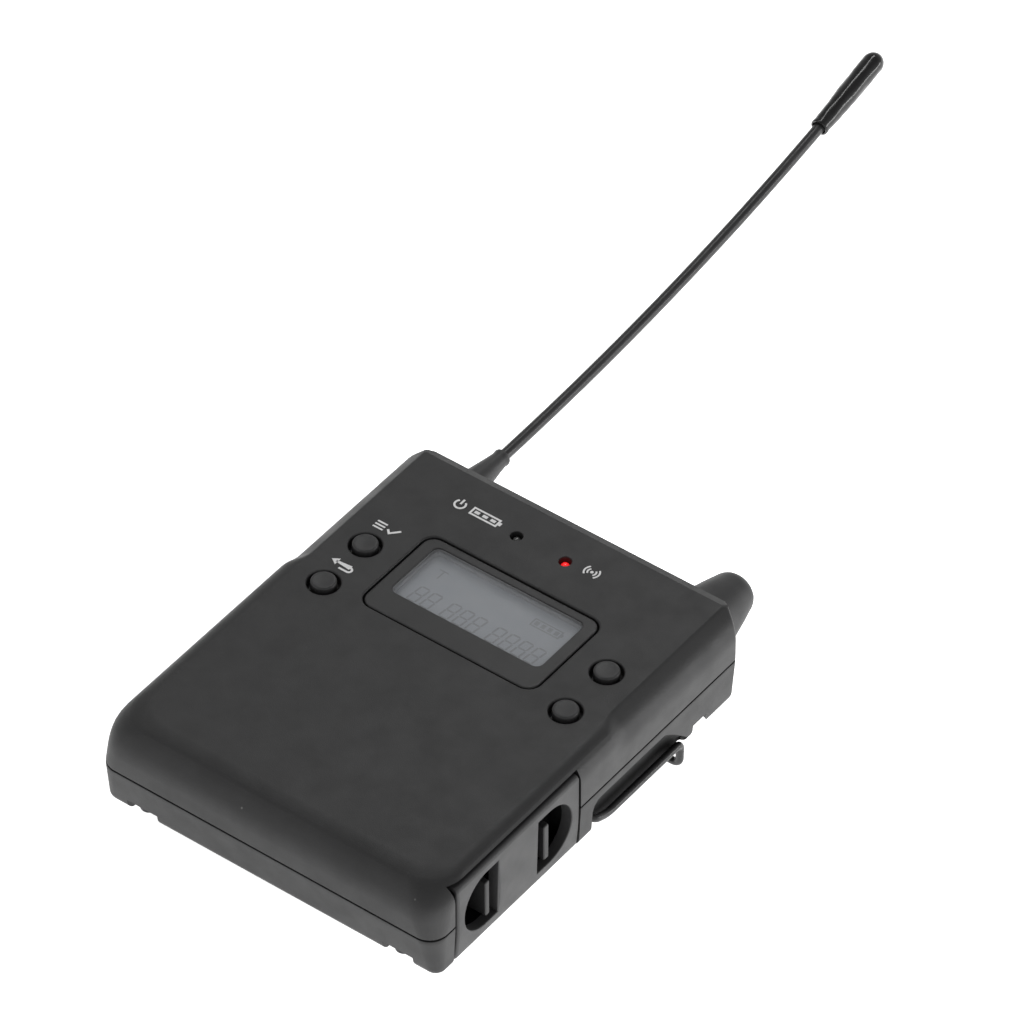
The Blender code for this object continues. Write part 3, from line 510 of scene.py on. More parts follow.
def combine(target, operation, *tools):
    """Booleans applied one after another, so that the result is a plain mesh and the tools are gone."""
    for tool in tools:
        step = target.modifiers.new("step", "BOOLEAN")
        step.operation = operation
        step.solver = "EXACT"
        step.object = tool
        bpy.context.view_layer.update()
        graph = bpy.context.evaluated_depsgraph_get()
        made = bpy.data.meshes.new_from_object(target.evaluated_get(graph))
        target.modifiers.remove(step)
        target.data = made
        bpy.data.objects.remove(tool)
    return target


def cut(target, *tools):
    return combine(target, "DIFFERENCE", *tools)


def join(target, *tools):
    return combine(target, "UNION", *tools)


def stack(name, levels, outline_at):
    """A loft up through levels of (z, grow): outline_at(grow) is the outline made larger by grow."""
    return loft(name, [at_level(outline_at(grow), z) for z, grow in levels])


def rolled(top, lip, angles=(0.5, 0.9, 1.25, 1.5)):
    """Levels of (height, sideways) along a rounded rim that ends at top."""
    return [(top - lip + lip * sin(a), lip * (1 - cos(a))) for a in angles]


def well(name, outline_at, low, face, lip):
    """A cutter for a hole with a rounded rim."""
    levels = [(low, 0), (face - lip, 0)] + rolled(face, lip) + [(face + 0.6, lip + 0.8)]
    return stack(name, levels, outline_at)


def finish(piece, body, material, slot, *nodes):
    """Gives a piece its material and its body, hides the nodes that it stands for, and evens out its shading.
    """
    piece.data.materials.clear()
    piece.data.materials.append(material)
    for polygon in piece.data.polygons:
        polygon.material_index = 0
    soften(piece)
    even = piece.modifiers.new("even_shading", "WEIGHTED_NORMAL")
    even.keep_sharp = True
    even.weight = 60
    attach(piece, body)
    if nodes:
        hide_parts(*nodes)
    return piece


def tube(name, points, radii, segments=24):
    """A tube swept along points without twist, with a radius for each of them."""
    side = None
    sections = []
    for i, point in enumerate(points):
        ahead = (points[min(i + 1, len(points) - 1)] - points[max(i - 1, 0)]).normalized()
        if side is None:
            side = ahead.orthogonal().normalized()
        side = (side - ahead * side.dot(ahead)).normalized()
        other = ahead.cross(side)
        sections.append([point + side * a + other * b for a, b in circle(0, 0, radii[i], segments)])
    return loft(name, sections, 50)


def rounded_ends(points, radius, steps=5):
    """Points and radii for a tube whose ends are domed."""
    head = (points[0] - points[1]).normalized()
    tail = (points[-1] - points[-2]).normalized()
    dome = [pi / 2 * (i + 0.7) / steps for i in range(steps)]
    path = [points[0] + head * radius * (sin(angle) - 1) for angle in dome[::-1]] + points[1:-1]
    path += [points[-1] + tail * radius * (sin(angle) - 1) for angle in dome]
    radii = [radius * cos(angle) for angle in dome]
    return path, radii[::-1] + [radius] * (len(points) - 2) + radii


# ---- covers

def quarter(height, radius):
    """How far a rounded edge has drawn in at this height above where the round begins."""
    if height <= 0:
        return 0.0
    height = min(height, radius)
    return radius - sqrt(radius * radius - height * height)


def shoulder_inset(z):
    """The chamfer beside the display and the round that leads it into the side."""
    wide, deep = SHOULDER
    slope = atan2(wide, deep)
    foot = FACE - deep - SHOULDER_ROUND * tan(slope / 2)
    rise = SHOULDER_ROUND * sin(slope)
    if z - foot < rise:
        return quarter(z - foot, SHOULDER_ROUND)
    return wide - (FACE - z) * wide / deep + quarter(z - (FACE - 0.3), 0.3) * 0.5


def edge_inset(draft, z):
    """How far a drafted wall with a round at the rear face has drawn in at height z."""
    slope, radius = draft
    return slope * (1 - z / REAR_RIM) + quarter(radius - z, radius)


def cover_outline(side_x, shoulder_x, low_y, high_y, corner, full):
    """One level of a cover: plain sides below the display, drawn in beside it.

    The top corners are cut by an upright plane, placed from full, the level's corner before any chamfer.
    """
    low, high = SHOULDER_RUN
    ramp_points = []
    for i in range(7):
        t = i / 6
        ease = t * t * (3 - 2 * t)
        ramp_points.append((side_x + (shoulder_x - side_x) * ease, low + (high - low) * t, 0))
    cut_x, cut_y = CORNER_CUT
    full_x, full_y = full
    slope = cut_y / cut_x
    least = 0.35
    first_y = min(full_y - cut_y + (full_x - shoulder_x) * slope, high_y - least)
    last_x = min(full_x - (high_y - full_y + cut_y) / slope, shoulder_x - least)
    radius = min(0.9, hypot(shoulder_x - last_x, high_y - first_y))
    right = [(side_x, low_y, corner)] + ramp_points
    right += [(shoulder_x, first_y, radius), (last_x, high_y, radius)]
    left = [(-x, y, r) for x, y, r in reversed(right)]
    return fillet(right + left, 10)


def front_body():
    turn = [radians(7.5 * i) for i in range(13)]
    chamfer = FACE - TOP_EDGE[1]
    levels = [FRONT_RIM + rise for rise in (0, 0.05, 0.18, 1.6)] + [chamfer - 0.15, chamfer, chamfer + 0.12]
    levels += [FACE - END_RADIUS * (1 - sin(a)) for a in turn]
    sections = []
    for z in sorted(levels):
        rim = quarter(FRONT_RIM + 0.18 - z, 0.18)
        side = HALF_WIDTH - rim - quarter(z - (FACE - SIDE_RADIUS), SIDE_RADIUS)
        shoulder = HALF_WIDTH - rim - shoulder_inset(z)
        low_y = -HALF_LENGTH + rim + quarter(z - (FACE - END_RADIUS), END_RADIUS)
        high_y = HALF_LENGTH - rim - max(0.0, z - chamfer) * TOP_EDGE[0] / TOP_EDGE[1]
        corner = CORNER_RADIUS[1] + (CORNER_RADIUS[2] - CORNER_RADIUS[1]) * (z - PARTING) / (FACE - PARTING)
        full = (HALF_WIDTH - rim, HALF_LENGTH - rim)
        sections.append(at_level(cover_outline(side, shoulder, low_y, high_y, corner, full), z))
    return loft("front_shell", sections)


def rear_body():
    edge = END_DRAFT[1]
    levels = [edge * (1 - cos(radians(10 * i))) for i in range(10)]
    levels += [REAR_RIM * 0.6, REAR_RIM - 0.9, REAR_RIM - 0.18, REAR_RIM - 0.05, REAR_RIM]
    sections = []
    for z in levels:
        rim = quarter(z - (REAR_RIM - 0.18), 0.18)
        side = HALF_WIDTH - rim - edge_inset(SIDE_DRAFT, z)
        top = HALF_LENGTH - rim - edge_inset(SIDE_DRAFT, z)
        bottom = -HALF_LENGTH + rim + edge_inset(END_DRAFT, z)
        corner = CORNER_RADIUS[0] + (CORNER_RADIUS[1] - CORNER_RADIUS[0]) * z / PARTING
        sections.append(at_level(cover_outline(side, side, bottom, top, corner, (side, top)), z))
    return loft("rear_shell", sections)


def bay_cutters(bottom, top):
    gap = 0.3
    bay = box("bay", (-31.0, DRAWER_LOW.y - gap, bottom), (36, DRAWER_HIGH.y + gap, top))
    mouth = box("mouth", (30.5, MOUTH_Y[0], -1), (36, MOUTH_Y[1], DRAWER_HIGH.z + 0.65))
    return [bay, mouth]


def top_hole_cutters():
    cutters = []
    for node, radius in TOP_HOLES:
        ends = [(centre(node).x, y, PARTING) for y in (INNER_END - 1, HALF_LENGTH + 1)]
        cutters.append(cylinder("top_hole", radius, *ends))
    return cutters


def front_shell():
    shell = front_body()
    for half, end in ((32.0, 36.5), (30.4, INNER_END)):
        hollow = [(-half, 8), (-half, 13.4), (-28.3, ROOF), (28.3, ROOF), (half, 13.4), (half, 8)]
        cut(shell, prism("hollow", hollow, RIB_TOP, end, "Y"))
    cut(shell, box("end_pocket", (-20, -39.4, 8), (20, -37.3, 14)))
    cut(shell, *bay_cutters(8, ROOF))
    half_x, half_y = BEZEL_HALF[0] + BEZEL_GAP, BEZEL_HALF[1] + BEZEL_GAP
    corner = BEZEL_CORNER + 0.3
    cut(shell, well(
        "bezel_hole", lambda grow: rounded(half_x + grow, half_y + grow, BEZEL_Y, corner + grow),
        15, FACE, 0.3,
    ))
    for nodes, radius, lip in ((BUTTONS, BUTTON_HOLE, 0.28), (LEDS, LED_HOLE, 0.12)):
        for node in nodes:
            x, y = centre(node).xy
            cut(shell, well("hole", lambda grow: circle(x, y, radius + grow), 15, FACE, lip))
    cut(shell, *top_hole_cutters())
    return finish(shell, "case", CASE, "case_plastic", "front_cover")


def scoop(side):
    """The hollow beside a clip leg: it curves out above, is rounded at one end and slopes at the other."""
    low, high = SCOOP_Z
    start, slope, end = SCOOP_Y
    stations = [(start, 1.4, 1.0), (start + 0.5, 0.6, 1.0), (start + 1.3, 0.12, 1.0), (start + 2.2, 0.0, 1.0)]
    for i in range(9):
        t = i / 8
        stations.append((slope + (end - 0.35 - slope) * t, 0.0, 1 - (1 - SCOOP_END) * t * (0.75 + 0.25 * t)))
    stations += [(end - 0.12, 0.15, SCOOP_END), (end, 0.45, SCOOP_END)]
    sections = []
    for y, shrink, height in stations:
        inner = SCOOP_X + shrink * 0.6
        outline = [(36, -1), (inner, -1)]
        for i in range(13):
            angle = pi / 2 * i / 12
            x = inner + 2.5 * (1 - cos(angle))
            outline.append((x, height * (low + (high - low - shrink) * sin(angle))))
        outline.append((36, height * (high - shrink)))
        sections.append([(side * x, y, z) for x, z in outline])
    return loft("scoop", sections)


def screw_pockets():
    """The pockets that the case screws' heads lie in, with softened rims, each open at the nearest wall."""
    half, inner = END_POCKET
    reach = HALF_LENGTH + 2
    rim = [(-1.0, 1.3), (0.0, 0.25), (0.12, 0.08), (0.3, 0), (POCKET_DEPTH, 0)]
    long, middle = (reach + inner) / 2, (inner - reach) / 2
    pockets = []
    for node in END_SCREWS:
        x = centre(node).x
        pockets.append(stack("screw_pocket", rim, lambda grow: [
            (x + a, b) for a, b in rounded(half + grow, long + grow, middle, 1.2 + grow)
        ]))
    for node in SIDE_SCREWS:
        x, y = centre(node).xy
        pockets.append(stack("screw_pocket", rim, lambda grow: circle(x, y, SIDE_POCKET + grow)))
    return pockets


def rear_shell():
    shell = rear_body()
    upper = PARTING + 1
    cut(shell, box("hollow", (-29.6, RIB_TOP, FLOOR), (29.6, 37.0, upper)))
    cut(shell, box("hollow", (-29.2, 36.0, FLOOR), (29.2, INNER_END, upper)))
    cut(shell, box("end_pocket", (-20, -39.2, 1.6), (20, -37.3, upper)))
    cut(shell, *bay_cutters(FLOOR, upper))
    pivot_y, pivot_z = CLIP_PIVOT
    for side in (-1, 1):
        cut(shell, scoop(side))
        ends = (side * 29.0, pivot_y, pivot_z), (side * 35.0, pivot_y, pivot_z)
        cut(shell, cylinder("pivot_hole", 0.98, *ends, 32))
    for node in SIDE_SCREWS:
        x, y = centre(node).xy
        a, b = sorted((copysign(26.6, x), copysign(30.0, x)))
        join(shell, box("pocket_wall", (a, y - 4.3, FLOOR - 0.3), (b, y + 4.3, POCKET_DEPTH + 1.0)))
    for node in END_SCREWS + SIDE_SCREWS:
        x, y = centre(node).xy
        cut(shell, cylinder("screw_hole", 1.3, (x, y, -1), (x, y, upper), 32))
    cut(shell, *screw_pockets())
    cut(shell, *top_hole_cutters())
    finish(shell, "case", CASE_REAR, "case_plastic", "rear_cover")
    # Painted shade: the faces in the hollow beside each clip leg get the plastic that darkens towards the
    # bottom.
    shell.data.materials.append(PAINTED_SHADE_HOLLOW)
    for polygon in shell.data.polygons:
        x, y, z = polygon.center / MM
        across = SCOOP_X - 0.1 < abs(x) < HALF_WIDTH - 0.3 and abs(polygon.normal.z) < 0.97
        if across and SCOOP_Y[0] < y < SCOOP_Y[2] and z < SCOOP_Z[1]:
            polygon.material_index = 1


# ---- display

def window_outline(grow):
    return rounded(WINDOW_HALF[0] + grow, WINDOW_HALF[1] + grow, WINDOW_Y, 1.3 + grow)


def bezel():
    """The insert around the display: rounded outer edge, and a window whose walls show under its rim."""
    lip = 0.3
    top = FACE - BEZEL_SUNK
    wide, tall = BEZEL_HALF
    levels = [(16.2, 0.0), (top - lip, 0.0)] + rolled(top, lip, (0.4, 0.8, 1.2, pi / 2))
    frame_piece = stack(
        "bezel", levels, lambda inset: rounded(wide - inset, tall - inset, BEZEL_Y, BEZEL_CORNER - inset),
    )
    flange = rounded(wide + 1.2, tall + 1.2, BEZEL_Y, BEZEL_CORNER)
    join(frame_piece, prism("flange", flange, 15.9, ROOF - 0.3))
    half_x, half_y = WINDOW_HALF
    cut(frame_piece, well("window_hole", window_outline, 15, top, 0.16))
    rebate = rounded(half_x + 1.3, half_y + 1.1, WINDOW_Y, 1.0)
    cut(frame_piece, prism("lens_rebate", rebate, 15, LINER_TOP + 0.02))
    return finish(frame_piece, "case", BEZEL, "bezel_plastic", "display_bezel")


def window_liner():
    """The pale ring that holds the lens: its pale colour is painted light, standing in for the lit walls of
    the window, and it shows as a band along the window's far sides.
    """
    low = span("lcd_panel")[1].z + 0.03
    half_x, half_y = WINDOW_HALF
    outside = rounded(half_x + 1.1, half_y + 0.9, WINDOW_Y, 1.6)
    ring = prism("window_liner", outside, low, LINER_TOP)
    opening = [(low - 1, 0.0), (LINER_TOP - 0.08, 0.0), (LINER_TOP, 0.08), (LINER_TOP + 1, 1.0)]
    cut(ring, stack("opening", opening, window_outline))
    return finish(ring, "case", LINER, "window")


def window_lens():
    low, high = span("display_window")
    half_x, half_y = WINDOW_HALF[0] - 0.03, WINDOW_HALF[1] - 0.03
    levels = ((low.z + 0.3, 0.12), (low.z + 0.42, 0.0), (high.z - 0.12, 0.0), (high.z, 0.12))
    lens_piece = stack(
        "window_lens", levels, lambda inset: rounded(half_x - inset, half_y - inset, WINDOW_Y, 1.25),
    )
    return finish(lens_piece, "case", LENS, "window", "display_window")


def lcd_glass():
    low, high = span("lcd_panel")
    glass = box("lcd_glass", (low.x, WINDOW_Y - 6.8, high.z - 0.7), (high.x, high.y, high.z), 0.08, 2)
    join(glass, box("lower_glass", (low.x, low.y, low.z), (high.x, high.y, high.z - 0.65), 0.08, 2))
    return finish(glass, "case", LCD, "lcd", "lcd_panel")


class Ink:
    """Collects flat plates of ink, a few hundredths of a millimetre thick, into one piece."""

    def __init__(self, height, thickness):
        self.shape = bmesh.new()
        self.low, self.high = height, height + thickness

    def plate(self, outline):
        faces = [at_level(outline, z) for z in (self.low, self.high)]
        lower, upper = [[self.shape.verts.new(Vector(point) * MM) for point in face] for face in faces]
        self.shape.faces.new(lower)
        self.shape.faces.new(upper)
        for i in range(len(outline)):
            j = (i + 1) % len(outline)
            self.shape.faces.new((lower[i], lower[j], upper[j], upper[i]))

    def block(self, left, low, right, high):
        self.plate([(left, low), (right, low), (right, high), (left, high)])

    def stroke(self, points, width):
        """A ribbon along points with square ends."""
        left, right = [], []
        for i, point in enumerate(points):
            here = Vector(point)
            back = (here - Vector(points[i - 1])).normalized() if i else None
            ahead = (Vector(points[i + 1]) - here).normalized() if i + 1 < len(points) else None
            along = ((back or ahead) + (ahead or back)).normalized()
            across = Vector((-along.y, along.x))
            spread = width / 2 / max(0.4, across.dot(Vector((-(ahead or back).y, (ahead or back).x))))
            left.append(here + across * spread)
            right.append(here - across * spread)
        self.plate([tuple(p) for p in left + right[::-1]])

    def done(self, name, material, slot=None):
        return finish(piece_from(name, self.shape), "case", material, slot)


def power_sign(ink, x, y, size):
    ink.stroke(arc((x, y), size * 0.42, 130, 410, 24), size * 0.16)
    ink.stroke([(x, y + size * 0.02), (x, y + size * 0.56)], size * 0.16)


def battery_sign(ink, x, y, long, tall, line, bars):
    right, top = x + long, y + tall
    half = line / 2
    ink.stroke([(x, y + half), (right, y + half)], line)
    ink.stroke([(x, top - half), (right, top - half)], line)
    ink.stroke([(x + half, y + line), (x + half, top - line)], line)
    ink.stroke([(right - half, y + line), (right - half, top - line)], line)
    ink.block(right + 0.02, y + tall * 0.3, right + line * 1.3, top - tall * 0.3)
    room = long - 2 * line
    pitch = room / bars
    for i in range(bars):
        left = x + line + pitch * (i + 0.2)
        ink.block(left, y + line * 1.8, left + pitch * 0.6, top - line * 1.8)


def labels():
    """Plain signs where a pack of this kind carries its printing: power, signal, accept and go back."""
    ink = Ink(FACE + 0.004, 0.022)
    led = centre("power_led")
    power_sign(ink, led.x - 11.9, led.y + 0.45, 2.3)
    battery_sign(ink, led.x - 9.6, led.y - 0.45, 5.6, 1.9, 0.36, 3)
    signal = centre("rf_led")
    middle = (signal.x + 5.0, signal.y + 0.55)
    ink.plate(circle(*middle, 0.30, 20))
    for radius in (0.75, 1.35):
        for first in (-48, 132):
            ink.stroke(arc(middle, radius, first, first + 96, 14), 0.30)
    accept = centre("button_set")
    x, y = accept.x - 1.9, accept.y + 4.2
    ink.stroke([(x + 2.6, y + 0.95), (x + 3.3, y + 0.25), (x + 4.7, y + 1.75)], 0.40)
    for row in range(3):
        ink.stroke([(x, y + 0.25 + row * 0.7), (x + 2.0, y + 0.25 + row * 0.7)], 0.34)
    back = centre("button_back")
    x, y = back.x - 2.4, back.y + 4.0
    hook = arc((x + 3.9, y + 0.72), 0.53, 90, -90, 10)
    ink.stroke([(x + 1.0, y + 1.25), (x + 3.9, y + 1.25)] + hook + [(x + 2.2, y + 0.19)], 0.38)
    ink.plate([(x, y + 1.25), (x + 1.25, y + 0.45), (x + 1.25, y + 2.05)])
    return ink.done("front_signs", INK)


def seven_segments(ink, x, y, wide, tall, bar):
    """One digit's seven bars, leaning a little."""
    lean = 0.12
    gap = bar * 0.22
    half = tall / 2

    def lay(points):
        ink.plate([(x + a + b * lean, y + b) for a, b in points])

    def across(b):
        left, right, low, high = gap + bar, wide - gap - bar, b - bar / 2, b + bar / 2
        tip = bar / 2
        lay([(left - tip, b), (left, low), (right, low), (right + tip, b), (right, high), (left, high)])

    def upright(a, low):
        left, right = a - bar / 2, a + bar / 2
        low, high = low + gap + bar * 0.1, low + half - gap - bar * 0.1
        foot, head = low + bar / 2, high - bar / 2
        lay([(a, low), (right, foot), (right, head), (a, high), (left, head), (left, foot)])

    for level in (bar / 2, half, tall - bar / 2):
        across(level)
    for a in (bar / 2, wide - bar / 2):
        for low in (bar / 4, half - bar / 4):
            upright(a, low)


def lcd_signs():
    """The display switched off: all its bars show faintly."""
    ink = Ink(span("lcd_panel")[1].z + 0.004, 0.012)
    base = WINDOW_Y - 4.9
    x = -13.2
    for count in (2, 3, 4):
        for i in range(count):
            seven_segments(ink, x, base, 2.05, 4.1, 0.36)
            x += 2.62
        x += 1.35
    ink.plate(circle(x - 4.45, base + 0.2, 0.22, 12))
    battery_sign(ink, 6.6, WINDOW_Y + 2.4, 5.8, 1.9, 0.26, 4)
    ink.stroke([(-12.6, WINDOW_Y + 3.9), (-10.8, WINDOW_Y + 3.9)], 0.26)
    ink.stroke([(-11.7, WINDOW_Y + 1.9), (-11.7, WINDOW_Y + 3.7)], 0.26)
    return ink.done("lcd_signs", LCD_INK, "lcd")


# ---- buttons and lamps

def button(node):
    """A cap with a soft rim and a very slightly hollow top."""
    x, y = centre(node).xy
    low, high = span(node)
    r = BUTTON_RADIUS
    top = high.z
    profile = [(0, top - 0.10), (r * 0.35, top - 0.085), (r * 0.62, top - 0.04), (r * 0.78, top)]
    rim = 0.42
    for a in (0.2, 0.5, 0.8, 1.1, 1.35, 1.57):
        profile.append((r - rim + rim * sin(a), top - rim + rim * cos(a)))
    skirt, stem = low.z + 1.05, low.z + 0.45
    profile += [(r, skirt), (3.3, skirt), (3.3, stem), (1.2, stem), (1.2, low.z), (0, low.z)]
    body = node + "_body"
    return finish(turned(node + "_cap", profile, (x, y, 0)), body, KEY, "button_plastic", node)


def lamp(node, material, slot):
    x, y = centre(node).xy
    low, high = span(node)
    r = LED_RADIUS
    dome = (0.25, 0.5, 0.75, 1.0, 1.3, 1.57)
    profile = [(0, high.z)] + [(r * sin(a), high.z - r + r * cos(a)) for a in dome]
    profile += [(r, low.z + 0.5), (r + 0.3, low.z + 0.5), (r + 0.3, low.z), (0, low.z)]
    return finish(turned(node + "_lens", profile, (x, y, 0), steps=40), "case", material, slot, node)


# ---- top end

def knob():
    """A smooth tapered knob with a soft end and a fine line round its foot."""
    low, high = span("volume_knob")
    x = centre("volume_knob").x
    foot = low.y
    long = high.y - low.y
    ease = [(4.9, 0.0), (5.85, 0.0), (6.05, 0.12), (6.1, 0.35), (6.07, 0.6)]
    slope = [(5.85, 1.6), (5.5, 3.0), (5.18, 4.3), (4.84, 5.8), (4.53, 7.0), (4.24, 8.1), (4.06, 8.8)]
    nose = [(3.92, 9.3), (3.72, 9.8), (3.4, 10.3), (2.9, 10.75), (2.2, 11.1), (1.4, 11.28), (0.6, long)]
    inside = [(0, 8.7), (2.15, 8.7), (2.15, 2.2), (4.7, 2.2)]
    profile = [(0, long)] + nose[::-1] + slope[::-1] + ease[::-1] + inside[::-1]
    cap = turned("knob_cap", profile, (x, foot, PARTING), (0, 1, 0), 96)
    return finish(cap, "knob", KNOB, "knob_plastic", "volume_knob")


def jack():
    low, high = span("audio_jack")
    x = centre("audio_jack").x
    barrel = box("jack_socket", (x - 4.8, low.y, PARTING - 2.8), (x + 4.8, 39.3, PARTING + 2.8), 0.3)
    join(barrel, cylinder("nose", 2.95, (x, 39.0, PARTING), (x, high.y, PARTING)))
    foot = 29.0
    deep = high.y - foot
    profile = [(0, deep + 0.3), (2.5, deep + 0.3), (2.3, deep + 0.05), (1.95, deep - 0.25), (1.8, deep - 0.6)]
    profile += [(1.8, 0), (0, 0)]
    cut(barrel, turned("jack_bore", profile, (x, foot, PARTING), (0, 1, 0), 48))
    return finish(barrel, "case", INNER, "inner_plastic", "audio_jack")


def knurled_nut():
    low, high = span("jack_nut")
    x = centre("jack_nut").x
    teeth = 40
    sections = []
    for y, drop in ((low.y, 0.25), (low.y + 0.2, 0.0), (high.y - 0.25, 0.0), (high.y, 0.3)):
        ring = []
        for angle in turns(teeth * 4):
            radius = 4.0 - drop + 0.09 * cos(angle * teeth)
            ring.append((x + radius * cos(angle), y, PARTING + radius * sin(angle)))
        sections.append(ring)
    nut = loft("jack_ring", sections)
    cut(nut, cylinder("nut_bore", 3.25, (x, 40, PARTING), (x, 45, PARTING)))
    return finish(nut, "case", NICKEL, "nickel", "jack_nut")


def whip_point(y):
    run = max(0.0, y - WHIP_STRAIGHT_TO) / WHIP_RUN
    return Vector((ANTENNA_X, y, PARTING)) + WHIP_LEAN * WHIP_SAG * run * run


def antenna():
    """Boot, whip and tip sleeve."""
    tip = BOOT_LENGTH
    profile = [(1.2, tip - 0.1), (1.36, tip), (1.52, tip - 0.08), (1.6, tip - 0.3), (1.58, tip - 0.7)]
    profile += [(1.52, tip - 1.0), (1.55, tip - 1.4), (1.72, 10.4), (1.95, 8.9), (2.22, 7.2), (2.52, 5.2)]
    profile += [(2.8, 3.2), (3.02, 1.6), (3.08, 0.9), (3.07, 0.55), (2.95, 0.33), (1.2, 0.3)]
    foot = (ANTENNA_X, HALF_LENGTH, PARTING)
    boot = turned("boot_cone", profile, foot, (0, 1, 0), 64, 50)
    finish(boot, "case", BOOT, "boot_rubber", "antenna_boot")

    start, end = span("antenna_whip")[0].y, WHIP_END - 2
    steps = 110
    line = [whip_point(start + (end - start) * i / steps) for i in range(steps + 1)]
    whip = tube("whip_rod", line, [WHIP_RADIUS] * len(line))
    finish(whip, "case", WHIP, "whip_jacket", "antenna_whip")
    tip_sleeve()


def tip_sleeve():
    """A shrunk sleeve: a soft lip at its mouth, slight ripples along it, and a rounded end."""
    outer, inner = 2.0, 1.22
    mouth = outer - 0.35
    start, last = SLEEVE_START, WHIP_END - 2.4
    skin = [(start + 0.02, inner + 0.1), (start, mouth - 0.1), (start + 0.12, mouth)]
    skin += [(start + 0.4, mouth + 0.03), (start + 0.9, mouth - 0.03), (start + 1.5, mouth)]
    steps = 34
    for i in range(1, steps):
        t = i / steps
        y = start + 1.5 + (last - start - 1.5) * t
        ripple = 0.018 * sin(t * 17.0) + 0.012 * sin(t * 41.0 + 1.0)
        skin.append((y, mouth + (outer - 0.04 - mouth) * min(1, t * 1.8) + ripple))
    dome = (0.0, 0.2, 0.4, 0.6, 0.8, 1.0, 1.2, 1.4, 1.5)
    skin += [(last + 2.3 * sin(a), outer * cos(a)) for a in dome]
    bore = [(WHIP_END - 1.6, 0.25), (WHIP_END - 1.7, inner), (WHIP_END - 9, inner), (start + 0.3, inner)]
    loops = []
    for y, radius in skin + bore:
        along = (whip_point(y + 0.5) - whip_point(y - 0.5)).normalized()
        across = along.cross(Vector((0, 0, 1))).normalized()
        upward = across.cross(along)
        loop = []
        for angle in turns(40):
            pinch = 0.0
            if start + 2 < y < last and radius > 1.4:
                pinch = 0.022 * sin(3 * angle + 0.35 * y) + 0.015 * sin(5 * angle - 0.8 * y)
            offset = across * cos(angle) + upward * sin(angle)
            loop.append(whip_point(y) + offset * (radius + pinch))
        loops.append(loop)
    tip = len(skin) - 1
    spans = [(i, i + 1) for i in range(len(loops) - 1) if i != tip] + [(len(loops) - 1, 0)]
    sleeve = loft("tip_sleeve", loops, 60, spans, (tip, tip + 1))
    finish(sleeve, "case", SLEEVE, "heat_shrink", "antenna_tip_sleeve")


# ---- battery drawer

def face_x(z):
    """The door's outer face: upright above the parting line, with a slight draft below it."""
    below = max(0.0, PARTING - z)
    return DRAWER_HIGH.x - 0.0075 * below * below


def recess_outline(side, grow):
    low, high = RECESS_Z
    radius = (high - low) / 2
    straight = RECESS_WIDTH - radius
    y = DRAWER_MIDDLE + side * (RECESS_STRAIGHT - grow)
    middle = (DRAWER_MIDDLE + side * (RECESS_STRAIGHT + straight), low + radius)
    first = -90 if side > 0 else 90
    round_side = arc(middle, radius + grow, first, first + 180, 28)
    ends = [(y, high + grow), (y, low - grow)]
    return round_side + (ends if side > 0 else ends[::-1])


def finger_hole(side):
    """A D-shaped cutter that follows the door's face, with a rounded rim."""
    rim = 0.22
    steps = [(-1.2, -0.03), (-rim, 0.0)] + rolled(0.0, rim)
    sections = [[(RECESS_PLATE - 0.3, y, z) for y, z in recess_outline(side, -0.06)]]
    sections += [[(face_x(z) + dx, y, z) for y, z in recess_outline(side, grow)] for dx, grow in steps]
    sections.append([(DRAWER_HIGH.x + 0.8, y, z) for y, z in recess_outline(side, rim + 1.1)])
    return loft("finger_hole", sections)


def along_drawer(side, first, last):
    """Two distances from the drawer's middle, to one side of it, as a lowest and a highest Y."""
    return sorted((DRAWER_MIDDLE + side * first, DRAWER_MIDDLE + side * last))


def door_outline(inset):
    """The drawer's end in (x, z), drawn in a little towards its ends."""
    face, top = DRAWER_HIGH.x - inset, DRAWER_HIGH.z - inset
    outline = [(26.6, 1.7), (30.8, 1.7), (30.8, 0.1)]
    outline += [(face - 1.6, 0.1), (face - 1.15, 0.22), (face - 0.8, 0.6)]
    outline += [(face_x(z) - inset, z) for z in (1.3, 2.0, 3.0, 4.5, 6.0, 7.5, PARTING, 12.0)]
    outline += arc((face - 0.9, top - 0.9), 0.9, 0, 90, 8)
    return outline + [(26.6, top)]


